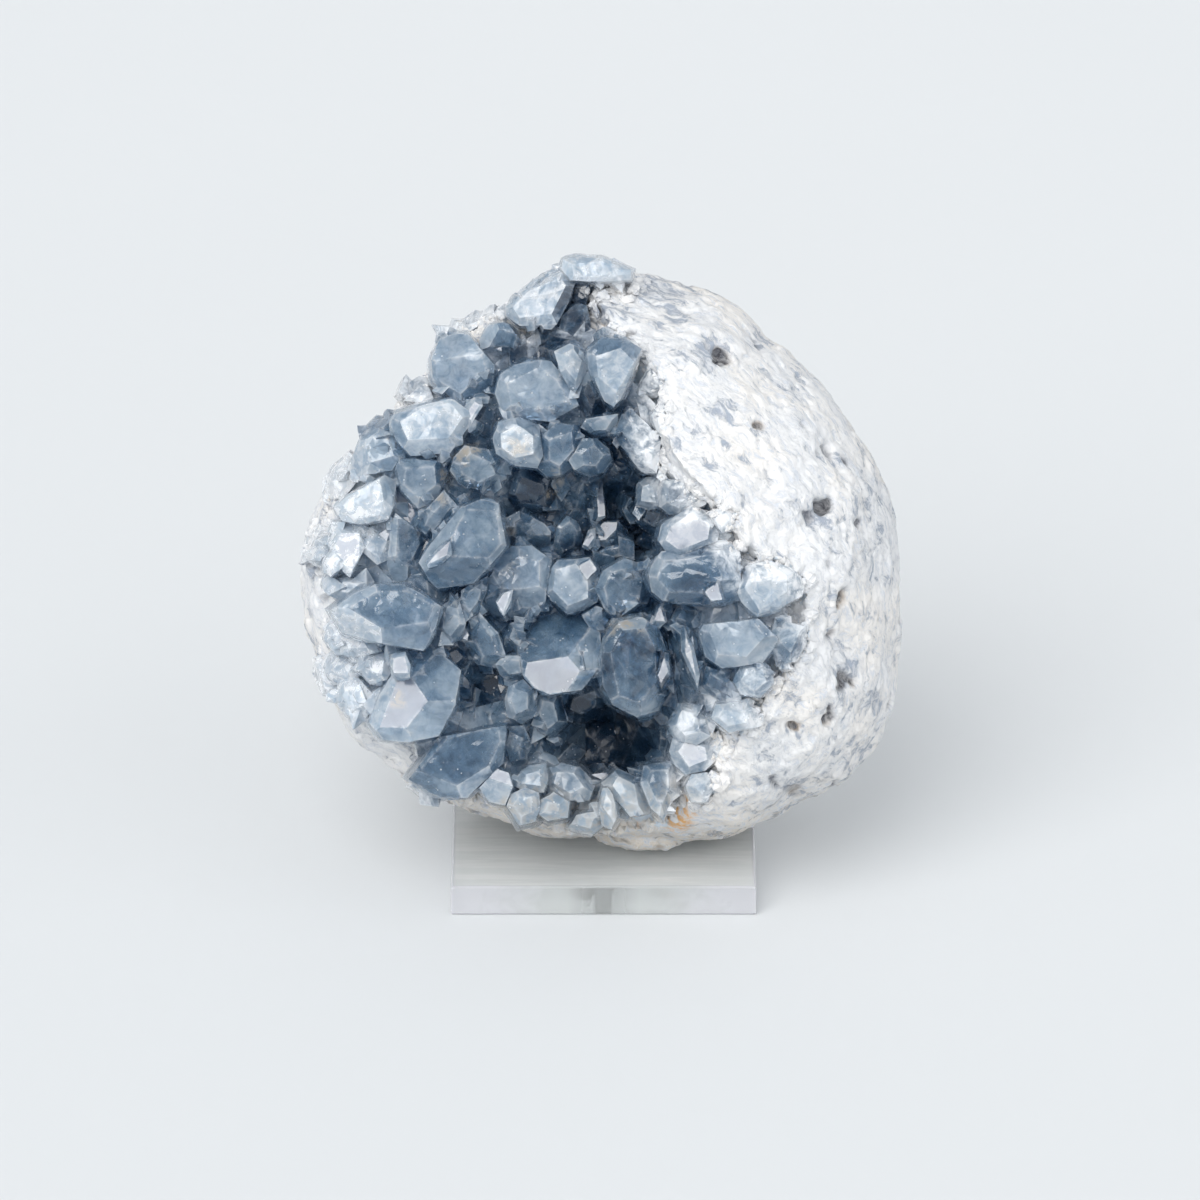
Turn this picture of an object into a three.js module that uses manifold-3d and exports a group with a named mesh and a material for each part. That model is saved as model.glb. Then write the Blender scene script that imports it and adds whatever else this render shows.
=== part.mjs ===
// A celestite geode on a clear acrylic display base: a white stone rind broken open in front,
// one crust of blue-grey crystals lining the hollow, and a square base with a threaded stud.
//
// The stone is drawn as the eye meets it: x to the right, y up, z towards the eye. Its group
// then leans it back by the angle at which the eye looks down on it. Outlines are read in a
// reference view of 1200 by 1200 pixels and turned into millimetres by PIXEL.
import * as THREE from "three";
import { ConvexGeometry } from "three/addons/geometries/ConvexGeometry.js";
import { ImprovedNoise } from "three/addons/math/ImprovedNoise.js";
import { mergeVertices } from "three/addons/utils/BufferGeometryUtils.js";
import Module from "manifold-3d";

const { ShapeUtils } = THREE;

// Driving dimensions, in millimetres and degrees
const BASE_SIDE = 63.5;
const BASE_THICKNESS = 6.35;
const BASE_EDGE = 0.35;
const PIXEL = 0.2089;
const EYE_ELEVATION = 22;
const STONE_CENTRE_PIXEL = [601, 556];
const STONE_CENTRE = [-0.5, 8, 64.6];
const FRONT_BULGE = 54;
const BACK_BULGE = 56;
const GAP = 0.3;
const STUD_RADIUS = 1.4;
const STUD_IN_BASE = 5;
const STUD_IN_STONE = 7;
const STUD_SIDES = 12;
const DRILL_OVERRUN = 1;
const FOOT_BLOCK = { side: 160, depth: 30 };

// Rind surface
const RIND_DETAIL = 8;
const LUMPS = [
  { size: 21, height: 1.5 },
  { size: 8.5, height: 0.75 },
];

// Hollow: how deep its wall lies under the whole stone's surface
const HOLLOW_CENTRE_PIXEL = [585, 575];
const RIM_STEP = 2;
const SHOULDER = 11;
const SHOULDER_START = 0.8;
const DENTS = [
  { name: "main hollow", pixel: [560, 580], reach: [112, 150], depth: 32 },
  { name: "lower cave", pixel: [612, 742], reach: [62, 40], depth: 30 },
  { name: "right cleft", pixel: [632, 530], reach: [34, 60], depth: 16 },
  { name: "left pocket", pixel: [489, 684], reach: [20, 20], depth: 13 },
  { name: "upper pocket", pixel: [545, 342], reach: [22, 20], depth: 8 },
];
const CRUST_THICKNESS = 4.5;
const CRUST_INSET = 0.6;
const CRUST_LIFT = 0.4;
const CRUST_GAP = 0.4;
const OPENING_SHARE = 1.02;
const OPENING_STEP = 8;
const FAR_FRONT = 95;
const RING_COLUMNS = 32;
const SLOPE_STEP = 1.5;

// Crystals
const END_SLOPE = 45;
const SIDE_TAPER = 0.07;
const ROOT_DEPTH = 2;
const WAIST_DEPTH = 3;
const SLOPE_PLAY = 6;
const TAPER_PLAY = 0.04;
const SHINE_TILT = [-0.17, 0.2];

// Outlines, in pixels of the reference view
const STONE_OUTLINE = [
  [585, 272], [633, 275], [680, 285], [722, 298], [744, 313], [760, 334], [800, 364], [845, 412],
  [875, 465], [893, 520], [899, 590], [897, 650], [885, 725], [850, 776], [800, 803],
  [760, 824], [730, 838], [680, 838], [620, 837], [560, 836], [510, 822], [455, 803], [400, 772],
  [345, 727], [318, 665], [304, 600], [305, 540], [325, 490], [352, 452], [386, 418],
  [425, 385], [452, 350], [495, 318], [540, 288],
];
const RIM_OUTLINE = [
  [570, 277], [590, 292], [600, 341], [652, 358], [668, 388], [664, 430], [668, 470],
  [690, 479], [708, 498], [735, 512], [742, 545], [790, 566], [804, 586], [806, 640],
  [796, 665], [775, 692], [756, 714], [720, 742], [719, 776], [700, 804], [668, 824], [620, 832],
  [560, 828], [505, 810], [452, 796], [398, 768], [352, 726], [328, 672], [316, 610], [318, 548],
  [338, 496], [366, 456], [398, 424], [436, 392], [464, 355], [502, 324], [540, 296],
];

// Pits in the rind, each a small broken void. PIT_FACING turns them towards the eye.
const PIT_FACING = 1.44;
const PITS = [
  { pixel: [716, 352], size: [26, 16], depth: 3 },
  { pixel: [819, 506], size: [28, 18], depth: 3 },
  { pixel: [808, 520], size: [16, 14], depth: 2 },
  { pixel: [826, 452], size: [22, 14], depth: 1.6 },
  { pixel: [853, 524], size: [14, 16], depth: 1.5 },
  { pixel: [758, 428], size: [12, 10], depth: 1.4 },
  { pixel: [846, 676], size: [14, 30], depth: 2 },
  { pixel: [824, 716], size: [16, 12], depth: 1.8 },
  { pixel: [793, 724], size: [20, 10], depth: 1.8 },
  { pixel: [842, 604], size: [12, 10], depth: 1.4 },
  { pixel: [606, 334], size: [18, 10], depth: 3 },
  { pixel: [626, 334], size: [12, 12], depth: 3 },
  { pixel: [770, 478], size: [14, 30], depth: 1.4 },
  { pixel: [798, 388], size: [10, 24], depth: 1.2 },
];

// Crystals read one by one in the reference view. edge is the crystal's outline, end the face
// it ends in, rise how far that face stands off the wall, tilt the way the face leans (right,
// up), and shine marks an end face turned to throw the light back at the eye.
const CRYSTALS = [
  // Top of the rim
  {
    edge: [
      [561, 272], [563, 262], [580, 259], [602, 260], [632, 272], [631, 283], [600, 286],
      [570, 284],
    ],
    end: [[572, 267], [602, 264], [620, 272], [598, 280], [574, 279]],
    tilt: [0.05, 0.3], rise: 26, root: 13,
  },
  {
    edge: [
      [505, 306], [520, 295], [534, 281], [562, 272], [578, 281], [570, 305], [558, 328],
      [520, 329], [507, 318],
    ],
    end: [[528, 294], [560, 279], [566, 288], [552, 316], [520, 320], [513, 309]],
    tilt: [-0.25, 0.35], rise: 10,
  },
  {
    edge: [[483, 317], [499, 307], [508, 309], [518, 327], [500, 326], [488, 327]],
    end: [[491, 318], [505, 312], [510, 321], [496, 323]], tilt: [-0.3, 0.4], rise: 6,
  },
  {
    edge: [[459, 326], [470, 318], [483, 316], [490, 326], [478, 343], [468, 337], [459, 336]],
    end: [[465, 326], [482, 320], [486, 326], [477, 336], [466, 333]], tilt: [-0.2, 0.5], rise: 7,
  },
  {
    edge: [
      [480, 342], [489, 326], [504, 324], [531, 334], [532, 355], [538, 363], [500, 368],
      [481, 352],
    ],
    end: [[500, 331], [519, 337], [513, 350], [490, 349]], tilt: [0.1, -0.35], rise: 8,
  },
  {
    edge: [[562, 318], [575, 304], [587, 306], [593, 338], [585, 352], [570, 345], [558, 334]],
    end: [[570, 315], [583, 312], [588, 334], [576, 342], [564, 332]], tilt: [-0.2, -0.3], rise: 7,
  },
  {
    edge: [[570, 300], [578, 284], [588, 283], [590, 300], [586, 308], [574, 306]],
    end: [[577, 290], [586, 288], [586, 300], [576, 302]], tilt: [-0.3, 0.1], rise: 4,
  },

  // Upper left rim
  {
    edge: [
      [432, 362], [441, 341], [455, 336], [469, 336], [496, 367], [494, 387], [463, 408],
      [434, 385],
    ],
    end: [[437, 364], [456, 360], [483, 357], [487, 374], [462, 396], [438, 382]],
    tilt: [-0.15, -0.2], rise: 12, slope: 38,
  },
  {
    edge: [[405, 402], [410, 391], [422, 382], [431, 389], [436, 399], [424, 406]],
    end: [[411, 398], [422, 388], [430, 396], [422, 402]], tilt: [-0.4, 0.3],
    rise: 9, root: 20,
  },
  {
    edge: [
      [391, 427], [397, 412], [430, 405], [449, 399], [456, 402], [478, 418], [452, 455],
      [412, 459], [398, 442],
    ],
    end: [[402, 424], [422, 411], [452, 405], [464, 420], [450, 440], [410, 442]],
    tilt: [0.05, 0.12], rise: 15, slope: 36,
  },
  {
    edge: [[458, 438], [464, 409], [475, 399], [483, 399], [485, 409], [477, 422], [466, 440]],
    end: [[466, 418], [476, 404], [481, 407], [472, 422]], tilt: [-0.2, 0.2], rise: 15,
  },
  {
    edge: [
      [466, 440], [478, 418], [486, 400], [497, 398], [501, 424], [494, 440], [492, 455],
      [474, 452],
    ],
    end: [[477, 430], [488, 408], [495, 412], [491, 444], [480, 446]], tilt: [0.35, -0.2], rise: 8,
  },
  {
    edge: [
      [349, 470], [362, 440], [370, 427], [379, 418], [392, 420], [404, 458], [395, 472],
      [360, 478],
    ],
    end: [[366, 442], [385, 430], [396, 457], [372, 464]], tilt: [-0.3, 0.25], rise: 10,
  },
  {
    edge: [[380, 431], [383, 424], [390, 421], [395, 427], [389, 434]],
    end: [[384, 429], [389, 424], [390, 430]], tilt: [-0.2, 0.4], rise: 13,
  },
  {
    edge: [[326, 490], [332, 468], [350, 452], [358, 460], [362, 480], [346, 500], [332, 500]],
    end: [[334, 482], [348, 460], [354, 476], [342, 492]], tilt: [-0.5, 0.3], rise: 6,
  },
  {
    edge: [
      [334, 506], [350, 497], [366, 483], [383, 474], [398, 482], [397, 506], [391, 521],
      [362, 526], [345, 522],
    ],
    end: [[346, 507], [366, 490], [382, 480], [386, 500], [382, 516], [358, 520]],
    tilt: [0.02, 0.1], rise: 15, slope: 40,
  },
  {
    edge: [
      [397, 470], [402, 461], [417, 459], [441, 462], [449, 472], [438, 502], [420, 510],
      [402, 492],
    ],
    end: [[408, 470], [436, 468], [438, 486], [421, 500], [406, 486]],
    tilt: [0.2, -0.15], rise: 13,
  },
  {
    edge: [
      [500, 378], [515, 367], [537, 362], [552, 364], [570, 386], [580, 408], [552, 424],
      [505, 420], [496, 396],
    ],
    end: [[508, 386], [540, 370], [558, 384], [568, 404], [540, 412], [512, 408]],
    tilt: [-0.08, -0.12], rise: 15, slope: 36,
  },
  {
    edge: [
      [553, 354], [570, 346], [584, 352], [591, 368], [584, 381], [577, 398], [566, 386],
      [558, 370],
    ],
    end: [[562, 358], [574, 352], [582, 364], [576, 384], [566, 372]], tilt: [0.3, 0.1], rise: 17,
  },
  {
    edge: [
      [586, 354], [602, 341], [626, 342], [646, 356], [648, 368], [636, 388], [621, 403],
      [617, 413], [604, 404], [588, 372],
    ],
    end: [[596, 360], [620, 352], [634, 366], [616, 396], [598, 380]],
    tilt: [0.05, -0.1], rise: 15, slope: 42,
  },
  {
    edge: [[576, 402], [582, 384], [588, 372], [597, 392], [607, 416], [600, 424], [586, 422]],
    end: [[584, 396], [588, 384], [596, 402], [592, 412]], tilt: [0, -0.35], rise: 9,
  },
  {
    edge: [[629, 402], [637, 388], [648, 362], [656, 364], [668, 390], [656, 401]],
    end: [[640, 392], [651, 374], [658, 388], [650, 396]], tilt: [-0.4, -0.25], rise: 6,
  },

  // Upper middle, above the dark gap
  {
    edge: [
      [451, 472], [454, 460], [466, 446], [488, 450], [508, 468], [507, 480], [482, 493],
      [460, 485],
    ],
    end: [[461, 466], [472, 455], [492, 464], [497, 476], [480, 484], [464, 476]],
    tilt: [0.1, -0.2], rise: 15,
  },
  {
    edge: [
      [493, 440], [499, 424], [520, 419], [540, 428], [544, 458], [538, 470], [516, 468],
      [497, 456],
    ],
    end: [[502, 436], [518, 427], [534, 438], [534, 456], [516, 460], [503, 450]],
    tilt: [0.02, 0.02], rise: 20, slope: 50,
  },
  {
    edge: [
      [538, 470], [542, 436], [556, 425], [580, 427], [583, 444], [576, 466], [562, 477],
      [547, 478],
    ],
    end: [[549, 442], [572, 434], [574, 452], [560, 468], [550, 462]],
    tilt: [0.15, -0.12], rise: 17,
  },
  {
    edge: [
      [568, 462], [582, 440], [597, 440], [609, 450], [612, 462], [603, 474], [590, 478],
      [574, 472],
    ],
    end: [[582, 456], [594, 447], [604, 457], [596, 468], [584, 467]],
    tilt: [0.25, -0.2], rise: 16,
  },
  {
    edge: [[580, 430], [586, 419], [602, 417], [619, 414], [617, 428], [608, 438], [594, 438]],
    end: [[588, 426], [602, 422], [612, 422], [606, 432], [594, 433]], tilt: [0.1, -0.4], rise: 13,
  },
  {
    edge: [[612, 438], [621, 416], [631, 411], [650, 428], [664, 446], [656, 476], [640, 474]],
    end: [[622, 434], [630, 421], [654, 446], [650, 466], [640, 462]],
    tilt: [-0.25, -0.1], rise: 12, slope: 34,
  },
  {
    edge: [[650, 418], [660, 404], [668, 412], [667, 432], [662, 442], [654, 432]],
    end: [[656, 418], [663, 412], [663, 430], [658, 430]], tilt: [-0.4, 0.1], rise: 6,
  },

  // Deep faces behind
  {
    edge: [
      [508, 500], [512, 474], [522, 468], [546, 480], [554, 484], [556, 508], [546, 520],
      [518, 512],
    ],
    end: [[516, 496], [522, 478], [544, 486], [546, 506], [522, 504]], tilt: [0.2, -0.45], rise: 9,
  },
  {
    edge: [[569, 494], [574, 480], [590, 476], [603, 480], [607, 518], [598, 523], [582, 518]],
    end: [[597, 494], [602, 484], [606, 516], [598, 518]], shine: true, rise: 9, slope: 52,
  },
  {
    edge: [[606, 516], [604, 484], [614, 466], [630, 472], [638, 484], [636, 506], [622, 522]],
    end: [[610, 500], [614, 480], [630, 484], [628, 506], [616, 514]], tilt: [-0.4, -0.1], rise: 5,
  },
  {
    edge: [[556, 494], [560, 478], [570, 470], [578, 480], [572, 500], [562, 512]],
    end: [[562, 492], [568, 480], [573, 488], [566, 502]], tilt: [0.3, 0.1], rise: 3,
  },
  {
    edge: [[610, 470], [606, 452], [614, 440], [626, 452], [634, 474], [622, 480]],
    end: [[612, 462], [616, 450], [626, 468], [618, 472]], tilt: [0.3, -0.2], rise: 4,
  },
  {
    edge: [[622, 556], [624, 526], [636, 508], [652, 524], [656, 550], [640, 568]],
    end: [[630, 548], [634, 524], [648, 534], [644, 556]], tilt: [-0.3, 0.1], rise: 2,
  },
  {
    edge: [[528, 356], [530, 336], [546, 330], [560, 338], [554, 356], [540, 364]],
    end: [[534, 352], [538, 340], [552, 342], [546, 356]], tilt: [0.2, 0.1], rise: 2,
  },

  // Left middle
  {
    edge: [
      [388, 566], [392, 524], [402, 502], [420, 510], [426, 536], [438, 546], [422, 564],
      [412, 581], [396, 582],
    ],
    end: [[398, 556], [400, 520], [414, 518], [422, 544], [410, 568]], tilt: [0.3, -0.1], rise: 7,
  },
  {
    edge: [[361, 550], [371, 528], [388, 522], [397, 538], [392, 560], [379, 566]],
    end: [[368, 549], [377, 534], [389, 542], [382, 559]], tilt: [0.15, 0.35], rise: 9,
  },
  {
    edge: [
      [420, 530], [424, 514], [446, 490], [455, 500], [461, 508], [444, 536], [433, 542],
      [424, 539],
    ],
    end: [[426, 529], [430, 519], [449, 501], [453, 508], [434, 533]], tilt: [-0.3, -0.3], rise: 11,
  },
  {
    edge: [
      [421, 563], [432, 545], [462, 507], [482, 500], [500, 504], [508, 546], [492, 566],
      [474, 583], [440, 588], [431, 580],
    ],
    end: [[450, 557], [453, 540], [468, 511], [497, 512], [502, 545], [490, 559]],
    tilt: [0.12, -0.04], rise: 21, slope: 40,
  },
  {
    edge: [[427, 562], [440, 548], [453, 538], [455, 556], [440, 568], [430, 570]],
    end: [[430, 565], [438, 555], [452, 542], [449, 556]], shine: true, rise: 20, root: 3,
  },
  {
    edge: [
      [485, 598], [492, 566], [512, 546], [532, 545], [553, 560], [546, 602], [538, 615],
      [503, 622], [490, 612],
    ],
    end: [[498, 592], [500, 572], [520, 556], [540, 562], [540, 592], [514, 590]],
    tilt: [-0.04, -0.08], rise: 19, slope: 40,
  },
  {
    edge: [[496, 602], [502, 592], [515, 588], [511, 606], [506, 619], [500, 612]],
    end: [[498, 603], [504, 594], [513, 590], [507, 606], [504, 615]], shine: true, rise: 18.5, root: 3,
  },
  {
    edge: [
      [333, 610], [355, 594], [377, 584], [411, 584], [430, 597], [444, 605], [436, 634],
      [425, 650], [378, 642], [345, 632],
    ],
    end: [[352, 608], [380, 592], [410, 591], [436, 606], [430, 622], [384, 628]],
    tilt: [0.1, 0.08], rise: 17, slope: 38,
  },
  {
    edge: [[362, 606], [364, 593], [378, 590], [381, 606], [372, 612]],
    end: [[365, 603], [367, 595], [376, 593], [377, 604]], shine: true, rise: 16.5, root: 3,
  },
  {
    edge: [
      [330, 545], [336, 528], [362, 524], [374, 536], [368, 548], [374, 566], [360, 585],
      [345, 572],
    ],
    end: [[338, 546], [344, 534], [362, 534], [362, 556], [354, 572], [344, 562]],
    tilt: [-0.1, 0.2], rise: 13,
  },
  {
    edge: [[325, 563], [336, 547], [347, 556], [346, 569], [334, 578], [326, 573]],
    end: [[330, 564], [337, 553], [343, 560], [336, 572]], tilt: [-0.3, 0.3], rise: 14,
  },
  {
    edge: [[310, 560], [312, 545], [326, 538], [334, 548], [323, 563]],
    end: [[315, 556], [318, 547], [328, 546], [321, 558]], tilt: [-0.7, 0.2], rise: 10,
  },
  {
    edge: [[331, 592], [335, 580], [352, 576], [374, 582], [362, 594], [342, 600]],
    end: [[338, 590], [346, 582], [362, 584], [350, 593]], tilt: [-0.3, 0.1], rise: 11,
  },
  {
    edge: [
      [436, 634], [444, 604], [460, 590], [464, 606], [468, 621], [464, 638], [450, 646],
      [440, 643],
    ],
    end: [[444, 628], [448, 608], [458, 602], [461, 624], [452, 636]], tilt: [-0.2, -0.2], rise: 10,
  },
  {
    edge: [[461, 606], [462, 590], [478, 580], [490, 574], [488, 592], [480, 612], [469, 621]],
    end: [[466, 604], [470, 592], [484, 582], [480, 600], [471, 612]], tilt: [0.25, -0.3], rise: 13,
  },
  {
    edge: [[424, 570], [432, 584], [446, 590], [462, 590], [452, 602], [434, 598], [416, 584]],
    end: [[428, 582], [436, 590], [450, 594], [440, 597]], tilt: [0.1, 0.5], rise: 4,
  },

  // Centre
  {
    edge: [
      [506, 546], [508, 524], [520, 512], [532, 516], [546, 524], [552, 532], [550, 556],
      [534, 548],
    ],
    end: [[513, 538], [516, 524], [530, 524], [536, 536], [526, 544]], tilt: [-0.3, -0.25], rise: 11,
  },
  {
    edge: [[532, 530], [540, 516], [552, 512], [558, 522], [554, 540], [542, 546]],
    end: [[539, 532], [545, 522], [552, 524], [548, 536]], tilt: [0.4, 0.2], rise: 8,
  },
  {
    edge: [
      [553, 546], [555, 528], [567, 515], [578, 522], [584, 536], [580, 550], [566, 560],
      [553, 560],
    ],
    end: [[559, 542], [561, 529], [570, 523], [577, 532], [574, 547], [564, 552]],
    tilt: [0.2, -0.35], rise: 13,
  },
  {
    edge: [[594, 545], [592, 530], [600, 521], [618, 520], [628, 530], [630, 545], [610, 551]],
    end: [[599, 541], [598, 529], [604, 523], [617, 523], [616, 530], [606, 540]],
    shine: true, rise: 14, slope: 48,
  },
  {
    edge: [[581, 548], [588, 530], [596, 527], [598, 545], [588, 552]],
    end: [[583, 545], [591, 531], [594, 538], [588, 547]], shine: true, rise: 13.5, root: 3,
  },
  {
    edge: [[591, 562], [594, 552], [612, 545], [630, 543], [633, 552], [630, 561], [602, 570]],
    end: [[598, 558], [604, 551], [628, 547], [627, 554], [604, 562]], tilt: [0.05, -0.3], rise: 16,
  },
  {
    edge: [
      [545, 592], [545, 576], [558, 560], [590, 557], [600, 570], [598, 602], [580, 612],
      [567, 615], [552, 602],
    ],
    end: [[553, 590], [556, 570], [576, 564], [588, 580], [588, 598], [568, 606]],
    tilt: [-0.05, -0.06], rise: 21, slope: 44,
  },
  {
    edge: [[574, 566], [590, 557], [599, 570], [588, 582], [578, 577]],
    end: [[577, 567], [590, 560], [597, 570], [587, 579]], shine: true, rise: 21, root: 3,
  },
  {
    edge: [
      [594, 590], [602, 570], [624, 558], [646, 566], [651, 582], [648, 602], [636, 618],
      [622, 623], [606, 612],
    ],
    end: [[604, 588], [610, 572], [632, 568], [642, 582], [638, 602], [620, 612], [608, 604]],
    tilt: [0.1, -0.1], rise: 20, slope: 48,
  },
  {
    edge: [[580, 614], [596, 604], [612, 610], [610, 630], [606, 650], [598, 642], [586, 624]],
    end: [[590, 616], [602, 611], [604, 630], [598, 630]], tilt: [0.3, -0.3], rise: 14,
  },
  {
    edge: [
      [520, 650], [532, 626], [548, 608], [568, 612], [586, 616], [600, 632], [602, 664],
      [582, 690], [550, 695], [534, 688], [522, 674],
    ],
    end: [[528, 662], [568, 656], [580, 670], [567, 690], [549, 693], [535, 686], [525, 674]],
    shine: true, rise: 17, slope: 30,
  },
  {
    edge: [[505, 640], [510, 622], [530, 618], [535, 630], [525, 646], [524, 662], [515, 656]],
    end: [[510, 638], [514, 627], [526, 626], [520, 646]], tilt: [-0.25, -0.3], rise: 13,
  },
  {
    edge: [[466, 650], [469, 622], [480, 610], [500, 632], [508, 656], [500, 668], [478, 664]],
    end: [[476, 640], [481, 622], [492, 636], [498, 654], [484, 656]], tilt: [-0.3, -0.15], rise: 11,
  },
  {
    edge: [[495, 664], [505, 654], [520, 654], [528, 664], [523, 680], [508, 680], [500, 674]],
    end: [[502, 665], [508, 659], [520, 660], [522, 672], [510, 674]], tilt: [0.1, -0.4], rise: 14,
  },

  // Right middle
  {
    edge: [[635, 506], [636, 486], [646, 478], [662, 476], [664, 492], [660, 508], [648, 512]],
    end: [[640, 502], [642, 488], [656, 482], [657, 504]], tilt: [-0.35, 0.05], rise: 14,
  },
  {
    edge: [[658, 508], [661, 482], [682, 480], [706, 496], [702, 508], [680, 516], [668, 516]],
    end: [[666, 504], [668, 488], [682, 487], [694, 500], [678, 510]], tilt: [-0.15, -0.1], rise: 12,
  },
  {
    edge: [[635, 522], [638, 508], [660, 506], [668, 518], [660, 530], [655, 537], [642, 530]],
    end: [[641, 520], [646, 512], [660, 514], [654, 528]], tilt: [-0.3, -0.35], rise: 13,
  },
  {
    edge: [
      [656, 541], [660, 526], [690, 507], [706, 514], [718, 530], [716, 543], [680, 557],
      [668, 558],
    ],
    end: [[664, 541], [669, 528], [690, 514], [708, 526], [706, 540], [678, 551]],
    tilt: [-0.1, 0.12], rise: 16, slope: 44,
  },
  {
    edge: [[704, 514], [722, 508], [734, 514], [732, 530], [718, 536], [712, 526]],
    end: [[712, 516], [722, 512], [728, 520], [720, 529]], tilt: [0.2, 0.3], rise: 9,
  },
  {
    edge: [
      [647, 576], [652, 562], [660, 552], [724, 539], [738, 552], [740, 600], [700, 605],
      [662, 601], [651, 592],
    ],
    end: [[656, 578], [662, 562], [712, 556], [720, 580], [704, 592], [668, 592]],
    tilt: [-0.1, -0.06], rise: 16, slope: 40,
  },
  {
    edge: [[701, 594], [708, 582], [718, 580], [724, 600], [708, 603]],
    end: [[703, 592], [715, 582], [720, 600], [708, 600]], shine: true, rise: 15.5, root: 3,
  },
  {
    edge: [
      [734, 592], [742, 566], [766, 559], [788, 568], [802, 582], [799, 596], [772, 612],
      [754, 618], [738, 603],
    ],
    end: [[742, 588], [750, 570], [768, 565], [784, 576], [784, 592], [757, 610]],
    tilt: [0.08, 0.06], rise: 13, slope: 40,
  },
  {
    edge: [
      [697, 632], [713, 604], [738, 601], [756, 618], [774, 616], [776, 640], [760, 662],
      [720, 668], [704, 656],
    ],
    end: [[708, 632], [718, 612], [750, 620], [762, 636], [744, 656], [716, 654]],
    tilt: [-0.12, -0.16], rise: 14, slope: 38,
  },
  {
    edge: [[766, 636], [772, 618], [803, 626], [803, 644], [792, 661], [774, 666]],
    end: [[773, 638], [778, 624], [797, 631], [788, 652]], tilt: [0.25, -0.1], rise: 9,
  },
  {
    edge: [[730, 680], [738, 664], [756, 656], [768, 666], [772, 682], [758, 697], [738, 694]],
    end: [[738, 680], [744, 668], [758, 664], [764, 680], [752, 690]], tilt: [0.1, 0.1], rise: 10,
  },
  {
    edge: [[698, 684], [704, 664], [724, 672], [740, 692], [734, 700], [716, 700]],
    end: [[705, 684], [709, 674], [724, 682], [726, 693]], tilt: [-0.3, -0.2], rise: 9,
  },
  {
    edge: [
      [670, 628], [684, 626], [694, 648], [700, 674], [697, 692], [684, 697], [678, 680],
      [679, 650],
    ],
    end: [[674, 629], [682, 629], [690, 650], [694, 674], [688, 690], [683, 676], [684, 652]],
    shine: true, rise: 11,
  },
  {
    edge: [[668, 620], [676, 606], [696, 603], [708, 606], [700, 626], [688, 630]],
    end: [[676, 618], [682, 610], [698, 611], [690, 622]], tilt: [0, 0.4], rise: 6,
  },
  {
    edge: [[651, 622], [655, 606], [664, 604], [668, 622], [658, 630]],
    end: [[653, 620], [659, 605], [664, 621]], shine: true, rise: 12,
  },
  {
    edge: [[664, 690], [662, 650], [656, 626], [668, 624], [680, 652], [680, 682], [672, 698]],
    end: [[668, 680], [668, 648], [674, 660], [674, 684]], tilt: [-0.4, 0], rise: 5,
  },
  {
    edge: [
      [600, 656], [606, 636], [618, 620], [642, 616], [658, 628], [667, 654], [668, 680],
      [656, 708], [636, 716], [612, 704], [602, 684],
    ],
    end: [[610, 652], [622, 630], [644, 628], [655, 650], [656, 680], [640, 702], [618, 694]],
    tilt: [0.14, -0.08], rise: 18, slope: 46,
  },
  {
    edge: [[655, 676], [660, 650], [668, 652], [670, 674], [661, 690]],
    end: [[657, 674], [663, 657], [667, 670], [660, 682]], shine: true, rise: 17, root: 9,
  },

  // Lower left
  {
    edge: [
      [372, 722], [382, 694], [398, 668], [410, 652], [432, 645], [462, 670], [458, 704],
      [441, 735], [412, 741], [384, 739],
    ],
    end: [[400, 678], [414, 677], [430, 700], [409, 726], [382, 726]],
    shine: true, rise: 17, slope: 32,
  },
  {
    edge: [[392, 664], [393, 654], [408, 651], [414, 664], [414, 678], [398, 680]],
    end: [[396, 672], [396, 658], [407, 655], [411, 672]], tilt: [-0.2, 0.3], rise: 17,
  },
  {
    edge: [
      [376, 750], [400, 742], [440, 735], [460, 707], [486, 696], [504, 700], [508, 724],
      [504, 762], [468, 796], [440, 796], [400, 772], [380, 760],
    ],
    end: [
      [396, 752], [448, 738], [474, 708], [498, 706], [501, 740], [490, 764], [458, 784],
      [418, 768],
    ],
    tilt: [0.06, -0.06], rise: 15, slope: 40,
  },
  {
    edge: [[410, 786], [418, 776], [438, 777], [452, 784], [452, 798], [430, 799]],
    end: [[418, 786], [424, 781], [444, 786], [438, 794]], tilt: [-0.1, -0.3], rise: 11,
  },
  {
    edge: [[360, 668], [366, 656], [388, 652], [398, 664], [390, 680], [372, 684]],
    end: [[368, 668], [372, 661], [386, 660], [384, 674]], tilt: [-0.2, 0.2], rise: 12,
  },
  {
    edge: [[336, 696], [342, 680], [360, 676], [374, 690], [376, 708], [366, 720], [348, 714]],
    end: [[344, 695], [349, 686], [362, 686], [366, 704], [354, 710]], tilt: [-0.35, 0.1], rise: 10,
  },
  {
    edge: [[372, 712], [374, 690], [388, 682], [392, 690], [384, 712], [378, 722]],
    end: [[377, 708], [379, 694], [386, 690], [381, 708]], tilt: [-0.1, 0.1], rise: 11,
  },
  {
    edge: [[326, 672], [330, 658], [346, 653], [362, 660], [362, 676], [346, 684], [334, 684]],
    end: [[333, 670], [338, 662], [354, 664], [348, 677]], tilt: [-0.5, 0], rise: 7,
  },
  {
    edge: [[326, 640], [332, 622], [350, 616], [374, 636], [386, 652], [364, 658], [338, 654]],
    end: [[334, 638], [342, 626], [362, 636], [370, 648], [346, 648]], tilt: [-0.3, 0.15], rise: 10,
  },
  {
    edge: [[440, 652], [452, 644], [468, 646], [470, 660], [460, 670], [450, 664]],
    end: [[448, 654], [458, 649], [464, 657], [457, 663]], tilt: [0.3, 0.2], rise: 5,
  },
  {
    edge: [[458, 690], [462, 666], [468, 656], [476, 664], [474, 684], [482, 694], [466, 702]],
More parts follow.
